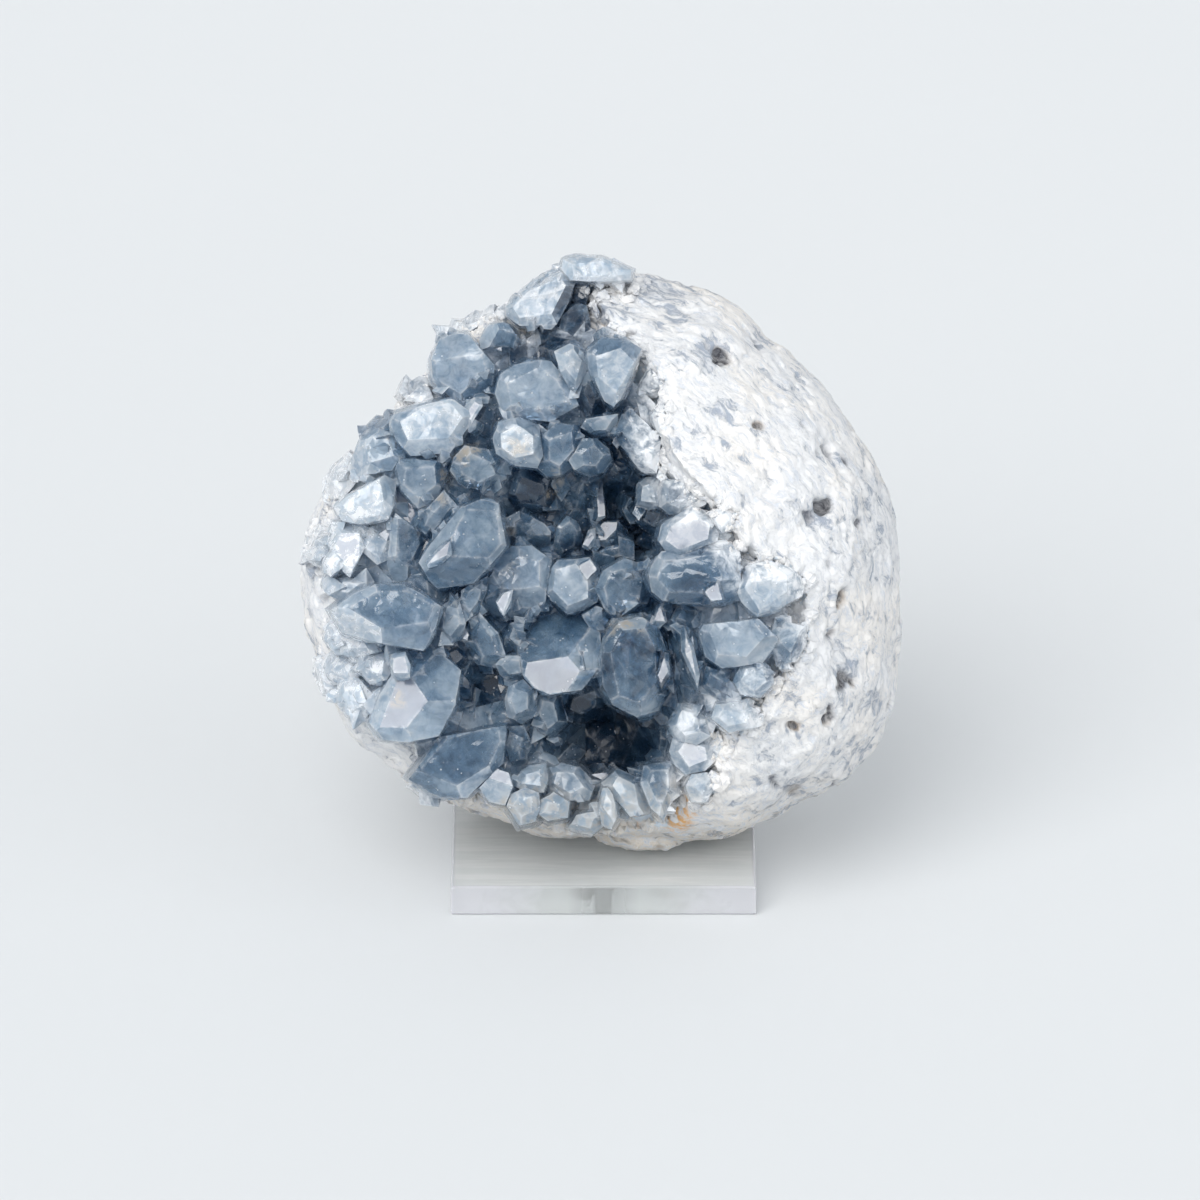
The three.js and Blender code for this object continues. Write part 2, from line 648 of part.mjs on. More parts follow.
    end: [[464, 686], [466, 668], [471, 668], [470, 688]], tilt: [0.3, -0.1], rise: 10,
  },

  // Below the middle
  {
    edge: [[504, 698], [508, 686], [524, 678], [536, 690], [537, 712], [522, 722], [508, 716]],
    end: [[511, 698], [516, 688], [528, 692], [528, 708], [517, 713]], tilt: [0.05, -0.3], rise: 13,
  },
  {
    edge: [[532, 716], [538, 692], [552, 694], [562, 696], [568, 724], [552, 738], [538, 730]],
    end: [[540, 714], [543, 700], [554, 702], [558, 720], [548, 728]], tilt: [0.1, -0.35], rise: 12,
  },
  {
    edge: [[562, 714], [564, 694], [600, 680], [609, 700], [600, 716], [580, 724]],
    end: [[570, 709], [573, 698], [596, 690], [596, 706], [582, 714]], tilt: [0.2, -0.4], rise: 8,
  },
  {
    edge: [[505, 746], [510, 726], [524, 724], [532, 742], [526, 758], [510, 762]],
    end: [[511, 744], [515, 733], [523, 736], [520, 752]], tilt: [0.3, 0.1], rise: 7,
  },
  {
    edge: [[526, 764], [532, 752], [546, 750], [562, 764], [548, 772], [532, 772]],
    end: [[533, 762], [540, 755], [552, 762], [540, 767]], tilt: [0.1, 0.5], rise: 8,
  },
  {
    edge: [[600, 744], [606, 720], [640, 722], [664, 736], [660, 758], [630, 752]],
    end: [[610, 738], [614, 728], [640, 732], [650, 744], [630, 744]], tilt: [0.1, -0.3], rise: 1,
  },
  {
    edge: [[548, 752], [560, 728], [590, 724], [602, 740], [590, 766], [566, 764]],
    end: [[558, 748], [568, 736], [588, 736], [582, 754]], tilt: [0.3, 0.1], rise: 1,
  },
  {
    edge: [[472, 700], [474, 668], [494, 664], [507, 688], [502, 704]],
    end: [[480, 692], [482, 676], [492, 676], [498, 690]], tilt: [0.2, 0.1], rise: 1,
  },

  // Bottom row
  {
    edge: [[480, 786], [488, 777], [498, 766], [510, 770], [515, 786], [506, 804], [490, 800]],
    end: [[489, 776], [498, 768], [509, 771], [513, 784]], shine: true, rise: 15,
  },
  {
    edge: [[515, 786], [518, 774], [530, 764], [546, 762], [549, 778], [545, 792], [526, 792]],
    end: [[522, 782], [526, 773], [540, 769], [541, 784]], tilt: [0, 0.3], rise: 15,
  },
  {
    edge: [[507, 804], [511, 792], [526, 785], [540, 790], [542, 806], [536, 820], [520, 824]],
    end: [[514, 804], [519, 795], [532, 795], [532, 810], [522, 815]], tilt: [-0.1, -0.1], rise: 14,
  },
  {
    edge: [[545, 784], [548, 768], [562, 762], [580, 766], [596, 783], [590, 800], [566, 800]],
    end: [[554, 782], [557, 771], [574, 772], [584, 786], [570, 792]], tilt: [0.05, 0.2], rise: 14,
  },
  {
    edge: [[537, 812], [540, 798], [554, 790], [570, 800], [568, 816], [548, 820]],
    end: [[545, 810], [549, 801], [560, 802], [558, 812]], tilt: [0.1, -0.1], rise: 13,
  },
  {
    edge: [[598, 806], [602, 786], [608, 784], [614, 794], [619, 814], [611, 828], [602, 824]],
    end: [[603, 806], [606, 792], [611, 800], [611, 816]], tilt: [-0.2, 0], rise: 13,
  },
  {
    edge: [[600, 782], [617, 767], [640, 778], [648, 800], [650, 812], [628, 816], [612, 796]],
    end: [[612, 784], [618, 775], [634, 783], [638, 804], [624, 800]], tilt: [0.1, 0.2], rise: 14,
  },
  {
    edge: [[639, 780], [642, 764], [672, 760], [682, 776], [672, 800], [663, 820], [650, 808]],
    end: [[646, 778], [650, 769], [668, 768], [668, 788], [660, 806]], tilt: [0.15, 0.05], rise: 14,
  },
  {
    edge: [[568, 826], [576, 812], [596, 808], [604, 824], [592, 834]],
    end: [[576, 823], [582, 815], [594, 817], [590, 827]], tilt: [0, -0.4], rise: 9,
  },
  {
    edge: [[667, 724], [677, 702], [692, 702], [705, 716], [710, 736], [696, 744], [676, 740]],
    end: [[674, 724], [681, 709], [694, 712], [700, 730], [684, 734]], tilt: [-0.25, 0.05], rise: 12,
  },
  {
    edge: [
      [668, 750], [672, 736], [692, 732], [712, 740], [719, 756], [704, 770], [684, 774],
      [674, 764],
    ],
    end: [[677, 750], [684, 740], [704, 746], [706, 758], [688, 765]], tilt: [-0.1, 0.1], rise: 11,
  },
  {
    edge: [[684, 784], [690, 772], [706, 770], [714, 786], [705, 801], [690, 800]],
    end: [[691, 784], [696, 777], [706, 780], [702, 793]], tilt: [0, -0.1], rise: 6,
  },
  {
    edge: [[708, 716], [714, 702], [736, 700], [757, 708], [754, 726], [726, 731]],
    end: [[716, 715], [721, 708], [746, 712], [744, 721], [726, 724]], tilt: [0.1, 0.05], rise: 8,
  },
];

const wasm = await Module();
wasm.setup();
const perlin = new ImprovedNoise();

// Chance that repeats: the same numbers on every run
let seed = 20;
function chance() {
  seed = (seed * 16807) % 2147483647;
  return seed / 2147483647;
}
const between = (low, high) => low + (high - low) * chance();
const smooth = (t) => THREE.MathUtils.smoothstep(t, 0, 1);

// A pixel of the reference view as millimetres right of and above the stone's centre
function toStone([x, y]) {
  const [centreX, centreY] = STONE_CENTRE_PIXEL;
  return new THREE.Vector2((x - centreX) * PIXEL, (centreY - y) * PIXEL);
}

// A closed outline as its radius at each angle about a centre
function radiusByAngle(outline, centrePixel) {
  const centre = toStone(centrePixel);
  const polar = outline
    .map((pixel) => toStone(pixel).sub(centre))
    .map((point) => ({ angle: point.angle(), radius: point.length() }))
    .sort((one, other) => one.angle - other.angle);
  const first = polar[0];
  const last = polar.at(-1);
  const ring = [
    { angle: last.angle - 2 * Math.PI, radius: last.radius },
    ...polar,
    { angle: first.angle + 2 * Math.PI, radius: first.radius },
  ];
  return (x, y) => {
    const angle = new THREE.Vector2(x, y).angle();
    const after = ring.findIndex((point) => point.angle > angle);
    const [low, high] = [ring[after - 1], ring[after]];
    const share = smooth((angle - low.angle) / (high.angle - low.angle));
    return THREE.MathUtils.lerp(low.radius, high.radius, share);
  };
}

const stoneRadius = radiusByAngle(STONE_OUTLINE, STONE_CENTRE_PIXEL);
const rimRadius = radiusByAngle(RIM_OUTLINE, HOLLOW_CENTRE_PIXEL);
const hollowCentre = toStone(HOLLOW_CENTRE_PIXEL);

// Height towards the eye of the whole stone's front, as if it had never broken open
function frontHeight(x, y) {
  const share = Math.hypot(x, y) / stoneRadius(x, y);
  return FRONT_BULGE * Math.sqrt(Math.max(0, 1 - share * share));
}

// Height of the hollow's wall, which sinks from the rim to the dents
function wallHeight(x, y) {
  const [outX, outY] = [x - hollowCentre.x, y - hollowCentre.y];
  const share = Math.hypot(outX, outY) / rimRadius(outX, outY);
  const inside = 1 - smooth((share - SHOULDER_START) / (1 - SHOULDER_START));
  let depth = SHOULDER - RIM_STEP;
  for (const dent of DENTS) {
    const centre = toStone(dent.pixel);
    const across = (x - centre.x) / (dent.reach[0] * PIXEL);
    const along = (y - centre.y) / (dent.reach[1] * PIXEL);
    depth += dent.depth * Math.exp(-across * across - along * along);
  }
  return frontHeight(x, y) - RIM_STEP - depth * inside;
}

// The way the wall faces at a place
function wallNormal(x, y) {
  const step = SLOPE_STEP;
  const slopeX = (wallHeight(x + step, y) - wallHeight(x - step, y)) / (2 * step);
  const slopeY = (wallHeight(x, y + step) - wallHeight(x, y - step)) / (2 * step);
  return new THREE.Vector3(-slopeX, -slopeY, 1).normalize();
}

// A three.js shape as a solid that can be joined and cut
function solid(geometry) {
  const bare = new THREE.BufferGeometry();
  bare.setAttribute("position", geometry.getAttribute("position"));
  bare.setIndex(geometry.getIndex());
  const merged = mergeVertices(bare, 1e-4);
  return new wasm.Manifold(
    new wasm.Mesh({
      numProp: 3,
      vertProperties: merged.getAttribute("position").array,
      triVerts: new Uint32Array(merged.getIndex().array),
    }),
  );
}

// A solid's surface as a mesh that shows, with flat faces
function shown(name, body, material) {
  const { vertProperties, triVerts } = body.getMesh();
  const geometry = new THREE.BufferGeometry();
  geometry.setAttribute("position", new THREE.BufferAttribute(vertProperties, 3));
  geometry.setIndex(new THREE.BufferAttribute(triVerts, 1));
  const flat = geometry.toNonIndexed();
  flat.computeVertexNormals();
  const mesh = new THREE.Mesh(flat, material);
  mesh.name = name;
  return mesh;
}

// The whole stone before it broke open, lumpy all over, grown by a margin
function wholeStone(grow) {
  const geometry = new THREE.IcosahedronGeometry(1, RIND_DETAIL);
  const place = geometry.getAttribute("position");
  const out = new THREE.Vector3();
  for (let i = 0; i < place.count; i += 1) {
    out.fromBufferAttribute(place, i).normalize();
    const across = Math.hypot(out.x, out.y) / stoneRadius(out.x, out.y);
    const bulge = out.z > 0 ? FRONT_BULGE : BACK_BULGE;
    let radius = 1 / Math.hypot(across, out.z / bulge);
    for (const { size, height } of LUMPS) {
      const spot = out.clone().multiplyScalar(radius / size);
      radius += height * perlin.noise(spot.x + size, spot.y, spot.z);
    }
    out.multiplyScalar(radius + grow);
    place.setXYZ(i, out.x, out.y, out.z);
  }
  geometry.deleteAttribute("normal");
  geometry.deleteAttribute("uv");
  return solid(geometry);
}

// A closed body of rings about the hollow's centre, from a list of profile stations. Each gives
// a share of the rim's radius and a height at that place. The place is then lifted off the
// hollow's wall and drawn in from the rim.
function ringBody(stations, columns = RING_COLUMNS) {
  const points = [];
  const faces = [];
  const station = ({ share, height, lift = 0, inset = 0 }, angle) => {
    const out = new THREE.Vector3(Math.cos(angle), Math.sin(angle), 0);
    const place = out.clone().multiplyScalar(rimRadius(out.x, out.y) * share);
    place.x += hollowCentre.x;
    place.y += hollowCentre.y;
    place.z = height(place.x, place.y);
    place.addScaledVector(wallNormal(place.x, place.y), lift);
    return place.addScaledVector(out, -inset).toArray();
  };
  const inner = stations.slice(1, -1);
  for (const ring of inner) {
    for (let i = 0; i < columns; i += 1) points.push(station(ring, (i / columns) * 2 * Math.PI));
  }
  const back = points.push(station(stations[0], 0)) - 1;
  const front = points.push(station(stations.at(-1), 0)) - 1;
  for (let i = 0; i < columns; i += 1) {
    const next = (i + 1) % columns;
    for (let row = 0; row < inner.length - 1; row += 1) {
      const [a, b] = [row * columns + i, row * columns + next];
      const [c, d] = [a + columns, b + columns];
      faces.push(a, d, c, a, b, d);
    }
    const top = (inner.length - 1) * columns;
    faces.push(back, next, i, front, top + i, top + next);
  }
  const geometry = new THREE.BufferGeometry();
  geometry.setAttribute("position", new THREE.Float32BufferAttribute(points.flat(), 3));
  geometry.setIndex(faces);
  return solid(geometry);
}

const BOWL_SHARES = [0.2, 0.4, 0.58, 0.74, 0.88, 1];

// The hollow with all the space in front of it, drawn in at its rim and lifted off its wall
function hollow(inset, lift) {
  const floor = BOWL_SHARES.map((share) => ({ share, height: wallHeight, lift }));
  floor.at(-1).inset = inset;
  return ringBody([
    { share: 0, height: wallHeight, lift },
    ...floor,
    { share: OPENING_SHARE, inset, height: (x, y) => frontHeight(x, y) + OPENING_STEP },
    { share: OPENING_SHARE, inset, height: () => FAR_FRONT },
    { share: 0, height: () => FAR_FRONT },
  ]);
}

// The thin root layer that the crystals grow from
function rootLayer() {
  const under = (x, y) => wallHeight(x, y) - ROOT_DEPTH;
  const over = (x, y) => wallHeight(x, y) + CRUST_THICKNESS;
  const outward = BOWL_SHARES.slice(0, -1);
  return ringBody([
    { share: 0, height: under },
    ...outward.map((share) => ({ share, height: under })),
    ...outward.toReversed().map((share) => ({ share, height: over })),
    { share: 0, height: over },
  ]);
}

// Every corner at which three of the faces meet inside all the others
function cornersOf(faces) {
  const corners = [];
  const meeting = new THREE.Matrix3();
  for (let i = 0; i < faces.length; i += 1) {
    for (let j = i + 1; j < faces.length; j += 1) {
      for (let k = j + 1; k < faces.length; k += 1) {
        const [a, b, c] = [faces[i], faces[j], faces[k]];
        meeting.set(...a.normal, ...b.normal, ...c.normal);
        if (Math.abs(meeting.determinant()) < 1e-6) continue;
        const corner = new THREE.Vector3(a.reach, b.reach, c.reach);
        corner.applyMatrix3(meeting.clone().invert());
        const within = faces.every((face) => face.normal.dot(corner) <= face.reach + 1e-6);
        if (within && corners.every((other) => other.distanceTo(corner) > 0.02)) {
          corners.push(corner);
        }
      }
    }
  }
  return corners;
}

// One crystal: its end face, a roof face along each side of the end, a side face along each
// side of the outline, and a cut-off root inside the wall
function crystal({ edge, end, rise, tilt, shine, slope = END_SLOPE, root = rise + ROOT_DEPTH }) {
  const outline = ShapeUtils.isClockWise(edge.map(toStone)) ? edge.toReversed() : edge;
  const crown = ShapeUtils.isClockWise(end.map(toStone)) ? end.toReversed() : end;
  const middle = new THREE.Vector2();
  for (const pixel of crown) middle.addScaledVector(toStone(pixel), 1 / crown.length);
  const height = wallHeight(middle.x, middle.y) + rise;
  const centre = new THREE.Vector3(middle.x, middle.y, height);
  const top = new THREE.Vector3(...(shine ? SHINE_TILT : tilt), 1).normalize();
  const faces = [
    { normal: top, reach: top.dot(centre) },
    { normal: new THREE.Vector3(0, 0, -1), reach: root - height },
  ];
  const onTop = ({ x, y }) =>
    new THREE.Vector3(x, y, height - (top.x * (x - middle.x) + top.y * (y - middle.y)) / top.z);
  crown.forEach((pixel, i) => {
    const from = onTop(toStone(pixel));
    const to = onTop(toStone(crown[(i + 1) % crown.length]));
    const outward = new THREE.Vector3().crossVectors(to.clone().sub(from), top).normalize();
    const angle = THREE.MathUtils.degToRad(slope + between(-SLOPE_PLAY, SLOPE_PLAY));
    const normal = outward.multiplyScalar(Math.sin(angle)).addScaledVector(top, Math.cos(angle));
    faces.push({ normal, reach: normal.dot(from) });
  });
  outline.forEach((pixel, i) => {
    const from = toStone(pixel);
    const to = toStone(outline[(i + 1) % outline.length]);
    const along = to.clone().sub(from);
    const normal = new THREE.Vector3(along.y, -along.x, 0).normalize();
    normal.z = SIDE_TAPER + between(-TAPER_PLAY, TAPER_PLAY);
    normal.normalize();
    const place = new THREE.Vector3(from.x, from.y, height - WAIST_DEPTH);
    faces.push({ normal, reach: normal.dot(place) });
  });
  const geometry = new ConvexGeometry(cornersOf(faces));
  geometry.deleteAttribute("normal");
  return solid(geometry);
}

// A small broken void sunk into the rind's front
function pit({ pixel, size, depth }) {
  const { x, y } = toStone(pixel);
  const geometry = new THREE.IcosahedronGeometry(1, 0);
  geometry.deleteAttribute("normal");
  geometry.deleteAttribute("uv");
  geometry.rotateZ(x).rotateX(y);
  geometry.scale((size[0] * PIXEL) / 2, (size[1] * PIXEL) / 2, depth);
  const out = new THREE.Vector3(x, y, frontHeight(x, y) * PIT_FACING).normalize();
  const turn = new THREE.Quaternion().setFromUnitVectors(new THREE.Vector3(0, 0, 1), out);
  geometry.applyQuaternion(turn).translate(x, y, frontHeight(x, y));
  return solid(geometry);
}

const join = (bodies) => bodies.reduce((all, body) => all.add(body));
const largest = (body) =>
  body.decompose().reduce((one, other) => (other.volume() > one.volume() ? other : one));

// The stone's own axes in the part: leant back so that the eye looks along its z
const lean = new THREE.Matrix4()
  .makeRotationX(THREE.MathUtils.degToRad(90 - EYE_ELEVATION))
  .setPosition(...STONE_CENTRE);
const unlean = lean.clone().invert();

// What the stone's foot is ground off to, and the socket drilled for the stud
function footCut() {
  const { side, depth } = FOOT_BLOCK;
  const block = new THREE.BoxGeometry(side, side, depth);
  block.translate(0, 0, BASE_THICKNESS + GAP - depth / 2);
  return solid(block.applyMatrix4(unlean));
}

function standingCylinder(radius, low, high) {
  const rod = new THREE.CylinderGeometry(radius, radius, high - low, STUD_SIDES);
  rod.rotateX(Math.PI / 2).translate(0, 0, (low + high) / 2);
  rod.deleteAttribute("normal");
  rod.deleteAttribute("uv");
  return rod;
}

const socketTop = BASE_THICKNESS + STUD_IN_STONE + GAP;
const socket = solid(
  standingCylinder(STUD_RADIUS + GAP, 0, socketTop).applyMatrix4(unlean),
);

const rindBody = largest(
  wholeStone(0)
    .subtract(hollow(0, 0))
    .subtract(footCut())
    .subtract(socket)
    .subtract(join(PITS.map(pit))),
);
const keptClear = wholeStone(CRUST_GAP).subtract(hollow(CRUST_INSET, CRUST_LIFT)).add(rindBody);
const crustBody = largest(
  join([rootLayer(), ...CRYSTALS.map(crystal)])
    .subtract(keptClear)
    .subtract(footCut()),
);

// The clear base: a bevelled square with a blind hole for the stud
function base() {
  const flat = BASE_SIDE / 2 - BASE_EDGE;
  const square = new THREE.Shape([
    new THREE.Vector2(-flat, -flat),
    new THREE.Vector2(flat, -flat),
    new THREE.Vector2(flat, flat),
    new THREE.Vector2(-flat, flat),
  ]);
  const slab = new THREE.ExtrudeGeometry(square, {
    depth: BASE_THICKNESS - 2 * BASE_EDGE,
    bevelThickness: BASE_EDGE,
    bevelSize: BASE_EDGE,
    bevelSegments: 1,
  });
  slab.translate(0, 0, BASE_EDGE);
  const holeBottom = BASE_THICKNESS - STUD_IN_BASE - GAP;
  return solid(slab).subtract(
    solid(standingCylinder(STUD_RADIUS + GAP, holeBottom, BASE_THICKNESS + DRILL_OVERRUN)),
  );
}

const rindMaterial = new THREE.MeshStandardMaterial({
  color: 0xe9e8e6,
  roughness: 0.9,
  metalness: 0,
});
const crystalMaterial = new THREE.MeshStandardMaterial({
  color: 0x8fa3b8,
  roughness: 0.12,
  metalness: 0,
  transparent: true,
  opacity: 0.85,
});
const acrylicMaterial = new THREE.MeshStandardMaterial({
  color: 0xe3eaec,
  roughness: 0.04,
  metalness: 0,
  transparent: true,
  opacity: 0.3,
});
const studMaterial = new THREE.MeshStandardMaterial({
  color: 0xdfe3e4,
  roughness: 0.2,
  metalness: 0,
});

const stone = new THREE.Group();
stone.applyMatrix4(lean);
stone.add(shown("rind", rindBody, rindMaterial));
stone.add(shown("crystal_crust", crustBody, crystalMaterial));

const stud = standingCylinder(
  STUD_RADIUS,
  BASE_THICKNESS - STUD_IN_BASE,
  BASE_THICKNESS + STUD_IN_STONE,
);

const geode = new THREE.Group();
geode.add(stone);
geode.add(shown("acrylic_base", base(), acrylicMaterial));
geode.add(shown("threaded_stud", solid(stud), studMaterial));

export default geode;
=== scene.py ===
"""Blue celestite geode on a clear display base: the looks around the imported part."""

import math
import random

import bmesh
import bpy
import numpy as np
from mathutils import Matrix, Vector, noise
from mathutils.bvhtree import BVHTree
from mathutils.kdtree import KDTree


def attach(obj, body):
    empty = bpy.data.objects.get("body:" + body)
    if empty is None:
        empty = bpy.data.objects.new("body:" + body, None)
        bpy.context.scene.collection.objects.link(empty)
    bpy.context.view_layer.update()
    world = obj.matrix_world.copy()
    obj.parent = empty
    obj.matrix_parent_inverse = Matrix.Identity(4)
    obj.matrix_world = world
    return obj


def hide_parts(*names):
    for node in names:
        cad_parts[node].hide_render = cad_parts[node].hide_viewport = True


bl_info = {
    "name": "Celestite geode on a display base",
    "version": (1, 0, 0),
    "blender": (4, 5, 0),
    "location": "3D View > Sidebar > Geode",
    "description": "Builds the crystals, the chalky rind and the clear base of a celestite geode",
    "category": "Object",
}

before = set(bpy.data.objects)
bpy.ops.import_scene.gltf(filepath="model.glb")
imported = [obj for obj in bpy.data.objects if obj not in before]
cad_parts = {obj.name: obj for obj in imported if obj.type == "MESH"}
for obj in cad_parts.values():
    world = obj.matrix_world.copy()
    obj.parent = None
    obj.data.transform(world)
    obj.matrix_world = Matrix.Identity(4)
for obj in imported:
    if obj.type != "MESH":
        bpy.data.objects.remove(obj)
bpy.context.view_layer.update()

MM = 0.001
# The open face of the stone leans back: x goes right on it, y up and z towards the eye
STONE_CENTRE = Vector((-0.5, 8.0, 64.6)) * MM
FACE_LEAN = math.radians(68)
FACE_TO_WORLD = Matrix.Translation(STONE_CENTRE) @ Matrix.Rotation(FACE_LEAN, 4, "X")
WORLD_TO_FACE = FACE_TO_WORLD.inverted()
TOWARD_EYE = FACE_TO_WORLD.to_3x3() @ Vector((0, 0, 1))

# The photograph's view: the camera's angle above the floor, its distance, what it looks at
# and the width that it sees there
VIEW_ELEVATION = math.radians(22)
VIEW_DISTANCE = 2.6
VIEW_TARGET = Vector((-0.73, 0, 57.9)) * MM
VIEW_WIDTH = 250.7 * MM
SENSOR_WIDTH = 36

# Fixes the offsets of noise.noise_vector, which otherwise differ from run to run
NOISE_SEED = 1
# Angle from which two faces of a crystal count as meeting in an edge
CREASE = math.radians(14)
# Worn edges of the crystals: how far the wear and the painted highlight along the ridges reach, and
# how deep the chips are
WEAR_AND_HIGHLIGHT_REACH = 0.8 * MM
CHIP_DEPTH = 0.00036
# Steps on the crystals' faces: how many cells of cleavage to a metre, and how far they sink in
CLEAVAGE_CELLS = 130
CLEAVAGE_SHARE = 0.11
# How many places on the crust are tried for small crystals, the level of -1 to 1 under which
# a place is a gap between the large ones, and how low on the open face small ones stand
GAP_SAMPLES = 40000
GAP_LEVEL = -0.14
LOWEST_SMALL = -53 * MM
# How far from the rind chalk still creeps over the crystals
CHALK_REACH = 12 * MM
# Distance between rind and crystals: nearer than the first, the rind's facets may be coarse.
# Nearer than the second, it counts as hidden, and past that its lip is drawn towards them
COARSE_GAP = 0.0013
HIDDEN_GAP = 0.0011
LIP_WIDTH = 0.0021
# How far from the crystals the rind's broken rim is rougher
RIM_REACH = 6 * MM
# How many facets the rind is thinned to
RIND_FACETS = 95000
# Relief of the rind: lumps, crags, ledges, pits, thin places and the rim's own crags
LUMP_HEIGHT, CRAG_HEIGHT, LEDGE_HEIGHT = 0.5 * MM, 0.24 * MM, 0.5 * MM
PIT_DEPTH, THIN_DEPTH, RIM_HEIGHT = 1.5 * MM, 0.4 * MM, 0.3 * MM
# How far behind the open face the stone still shows, in mm on its third axis
BACK_OF_FACE = -10
# Share of the crumbs that lie on the crystals, and the gap beside the rind that the rest fills
LOOSE_CRUMBS = 0.3
CRUMB_GAP = (0.5 * MM, 3.5 * MM)
STUD_RADIUS = 1.4 * MM
THREAD_DEPTH = 0.3 * MM

# Lump of rind under the front of the stone: its middle and its half sizes, in metres
FOOT_LUMP = ((0.0085, -0.0112, 0.0105), (0.0110, 0.0082, 0.0037))
# Direction of the faces that mirror the light, on the open face: right, up and towards the eye
MIRROR_FACE = (-0.17, 0.2, 1.0)
# Frosted crystals: place on the open face in mm, reach in mm, how white
FROSTED = [
    (-1, 60, 14, 0.72),
    (-13, 53, 9, 0.72),
    (-27, 47, 6, 0.58),
    (-29, 40, 7, 0.35),
    (-12, 34, 8, 0.33),
    (-6, 30, 4, 0.55),
    (-20, 29, 5, 0.39),
    (-36, 12, 5, 0.27),
    (-34, -14, 8, 0.23),
    (18, 18, 7, 0.55),
    (24, 8, 8, 0.39),
    (26, -14, 8, 0.35),
    (-36, 34, 7, 0.43),
    (-34, 27, 8, 0.7),
    (-27, 30, 3, 0.62),
    (-52, 9, 13, 0.9),
    (-49, 12, 6, 0.74),
    (-6, 39, 4, 0.7),
    (4, 37, 7, 0.62),
    (-17, 23, 5, 0.78),
    (17, 5, 6, 0.58),
    (11, 13, 4, 0.47),
    (34, -7, 7, 0.62),
    (-6, -6, 5, 0.43),
    (-10, -48, 9, 0.47),
    (-2, -50, 8, 0.47),
    (28, -33, 7, 0.55),
    (20, -40, 6, 0.62),
    (20, -48, 6, 0.62),
    (-50, -28, 12, 0.58),
    (-62, 8, 24, 0.95),
    (-58, -24, 20, 0.9),
    (-44, -44, 10, 0.47),
    (-24, -54, 12, 0.55),
    (4, -56, 12, 0.55),
    (-17, -5, 8, 0.25),
]
# Painted shade on the crystals and on their lining deep in the hollow: place on the open face in
# mm, reach in mm, how dark
PAINTED_SHADE = [
    (-19, 44, 5, 0.45),
    (-11, 44, 4, 0.8),
    (-5, 51, 8, 0.85),
    (-2, 32, 4, 0.7),
    (-24, 27, 4, 0.6),
    (-14, 12, 7, 0.5),
    (-2, 12, 7, 0.45),
    (4, 13, 6, 0.55),
    (2, 21, 4, 0.6),
    (7, 5, 5, 0.7),
    (-24, -27, 5, 0.9),
    (3, -38, 11, 1.0),
    (14, -20, 5, 0.7),
    (-33, -5, 5, 0.6),
    (-30, -21, 4, 0.6),
    (-40, 3, 5, 0.6),
    (-7, 4, 5, 0.6),
    (-9, -17, 8, 0.55),
    (7, -23, 9, 0.85),
    (-3, -31, 6, 0.6),
    (17, 2, 8, 0.3),
    (23, -10, 7, 0.3),
]
# Rusty stains on the rind: place on the open face in mm, reach in mm, strength
RUSTY = [
    (16, -54, 4, 1.0),
    (18, -52, 3, 0.8),
    (7, -55, 2, 0.7),
]
# Tan druse in the joints between crystals: place on the open face in mm, reach in mm, strength
DRUSE = [
    (-27, 22, 2.2, 0.9),
    (-29, 20, 1.8, 0.8),
    (-32, 16, 1.8, 0.8),
    (-10, 13, 1.6, 0.9),
    (-9, 16, 1.4, 0.7),
    (-19, 5, 1.4, 0.7),
    (-33, 12, 1.6, 0.7),
    (2, -15, 1.6, 0.8),
    (5, -14, 1.6, 0.8),
    (8, -15, 1.4, 0.7),
    (-17, 22, 3.0, 0.5),
    (-42, -30, 2.0, 0.6),
    (-20, -52, 2.5, 0.7),
    (-14, -54, 2.5, 0.6),
    (-12, -53, 9, 0.42),
    (2, -54, 9, 0.42),
    (14, -53, 8, 0.42),
]
# Pits in the rind: place on the open face in mm, reach in mm, how deep
PITS = [
    (25, 41, 2.5, 0.85),
    (0, 46, 1.8, 0.9),
    (5, 46, 1.6, 0.8),
    (46, 10, 2.3, 0.75),
    (43, 8, 1.8, 0.55),
    (33, 27, 1.5, 0.7),
    (47, 22, 1.8, 0.5),
    (53, 7, 1.8, 0.6),
    (50, -10, 1.3, 0.9),
    (51, -25, 1.9, 0.8),
    (50, -27, 1.6, 0.8),
    (40, -35, 1.7, 0.8),
    (47, -33, 1.8, 0.8),
    (36, -47, 1.6, 0.6),
    (40, -49, 2.0, 0.5),
    (48, -48, 1.6, 0.6),
]
# Grey-blue patches where the rind is thin: place on the open face in mm, reach in mm, strength
THIN_RIND = [
    (-3, 53, 7.0, 1.0),
    (-11, 51, 6.0, 1.0),
    (23, 42, 4.5, 0.9),
    (35, 36, 3.0, 0.6),
    (41, 36, 2.5, 0.8),
    (35, 16, 3.2, 0.9),
    (47, 21, 3.2, 0.8),
    (44, 8, 3.5, 0.7),
    (34, 45, 3.0, 0.8),
    (11, 57, 6.0, 0.9),
    (17, 56, 5.0, 0.9),
    (16, 51, 3.5, 0.8),
    (13, 47, 4.0, 0.5),
    (39, 11, 2.0, 0.5),
    (49, 2, 2.5, 0.6),
    (51, -1, 2.0, 0.6),
    (38, -28, 5.0, 1.0),
    (38, -17, 5.0, 1.0),
    (37, -22, 4.0, 0.9),
    (51, -24, 3.0, 0.8),
    (48, -33, 4.0, 0.5),
    (40, -49, 4.5, 0.6),
    (52, -42, 5.0, 0.5),
    (56, -30, 4.0, 0.4),
    (28, -33, 8.0, 0.5),
]


def clear_selection():
    """Leaves edit mode and deselects everything."""
    if bpy.context.object and bpy.context.object.mode != "OBJECT":
        bpy.ops.object.mode_set(mode="OBJECT")
    bpy.ops.object.select_all(action="DESELECT")


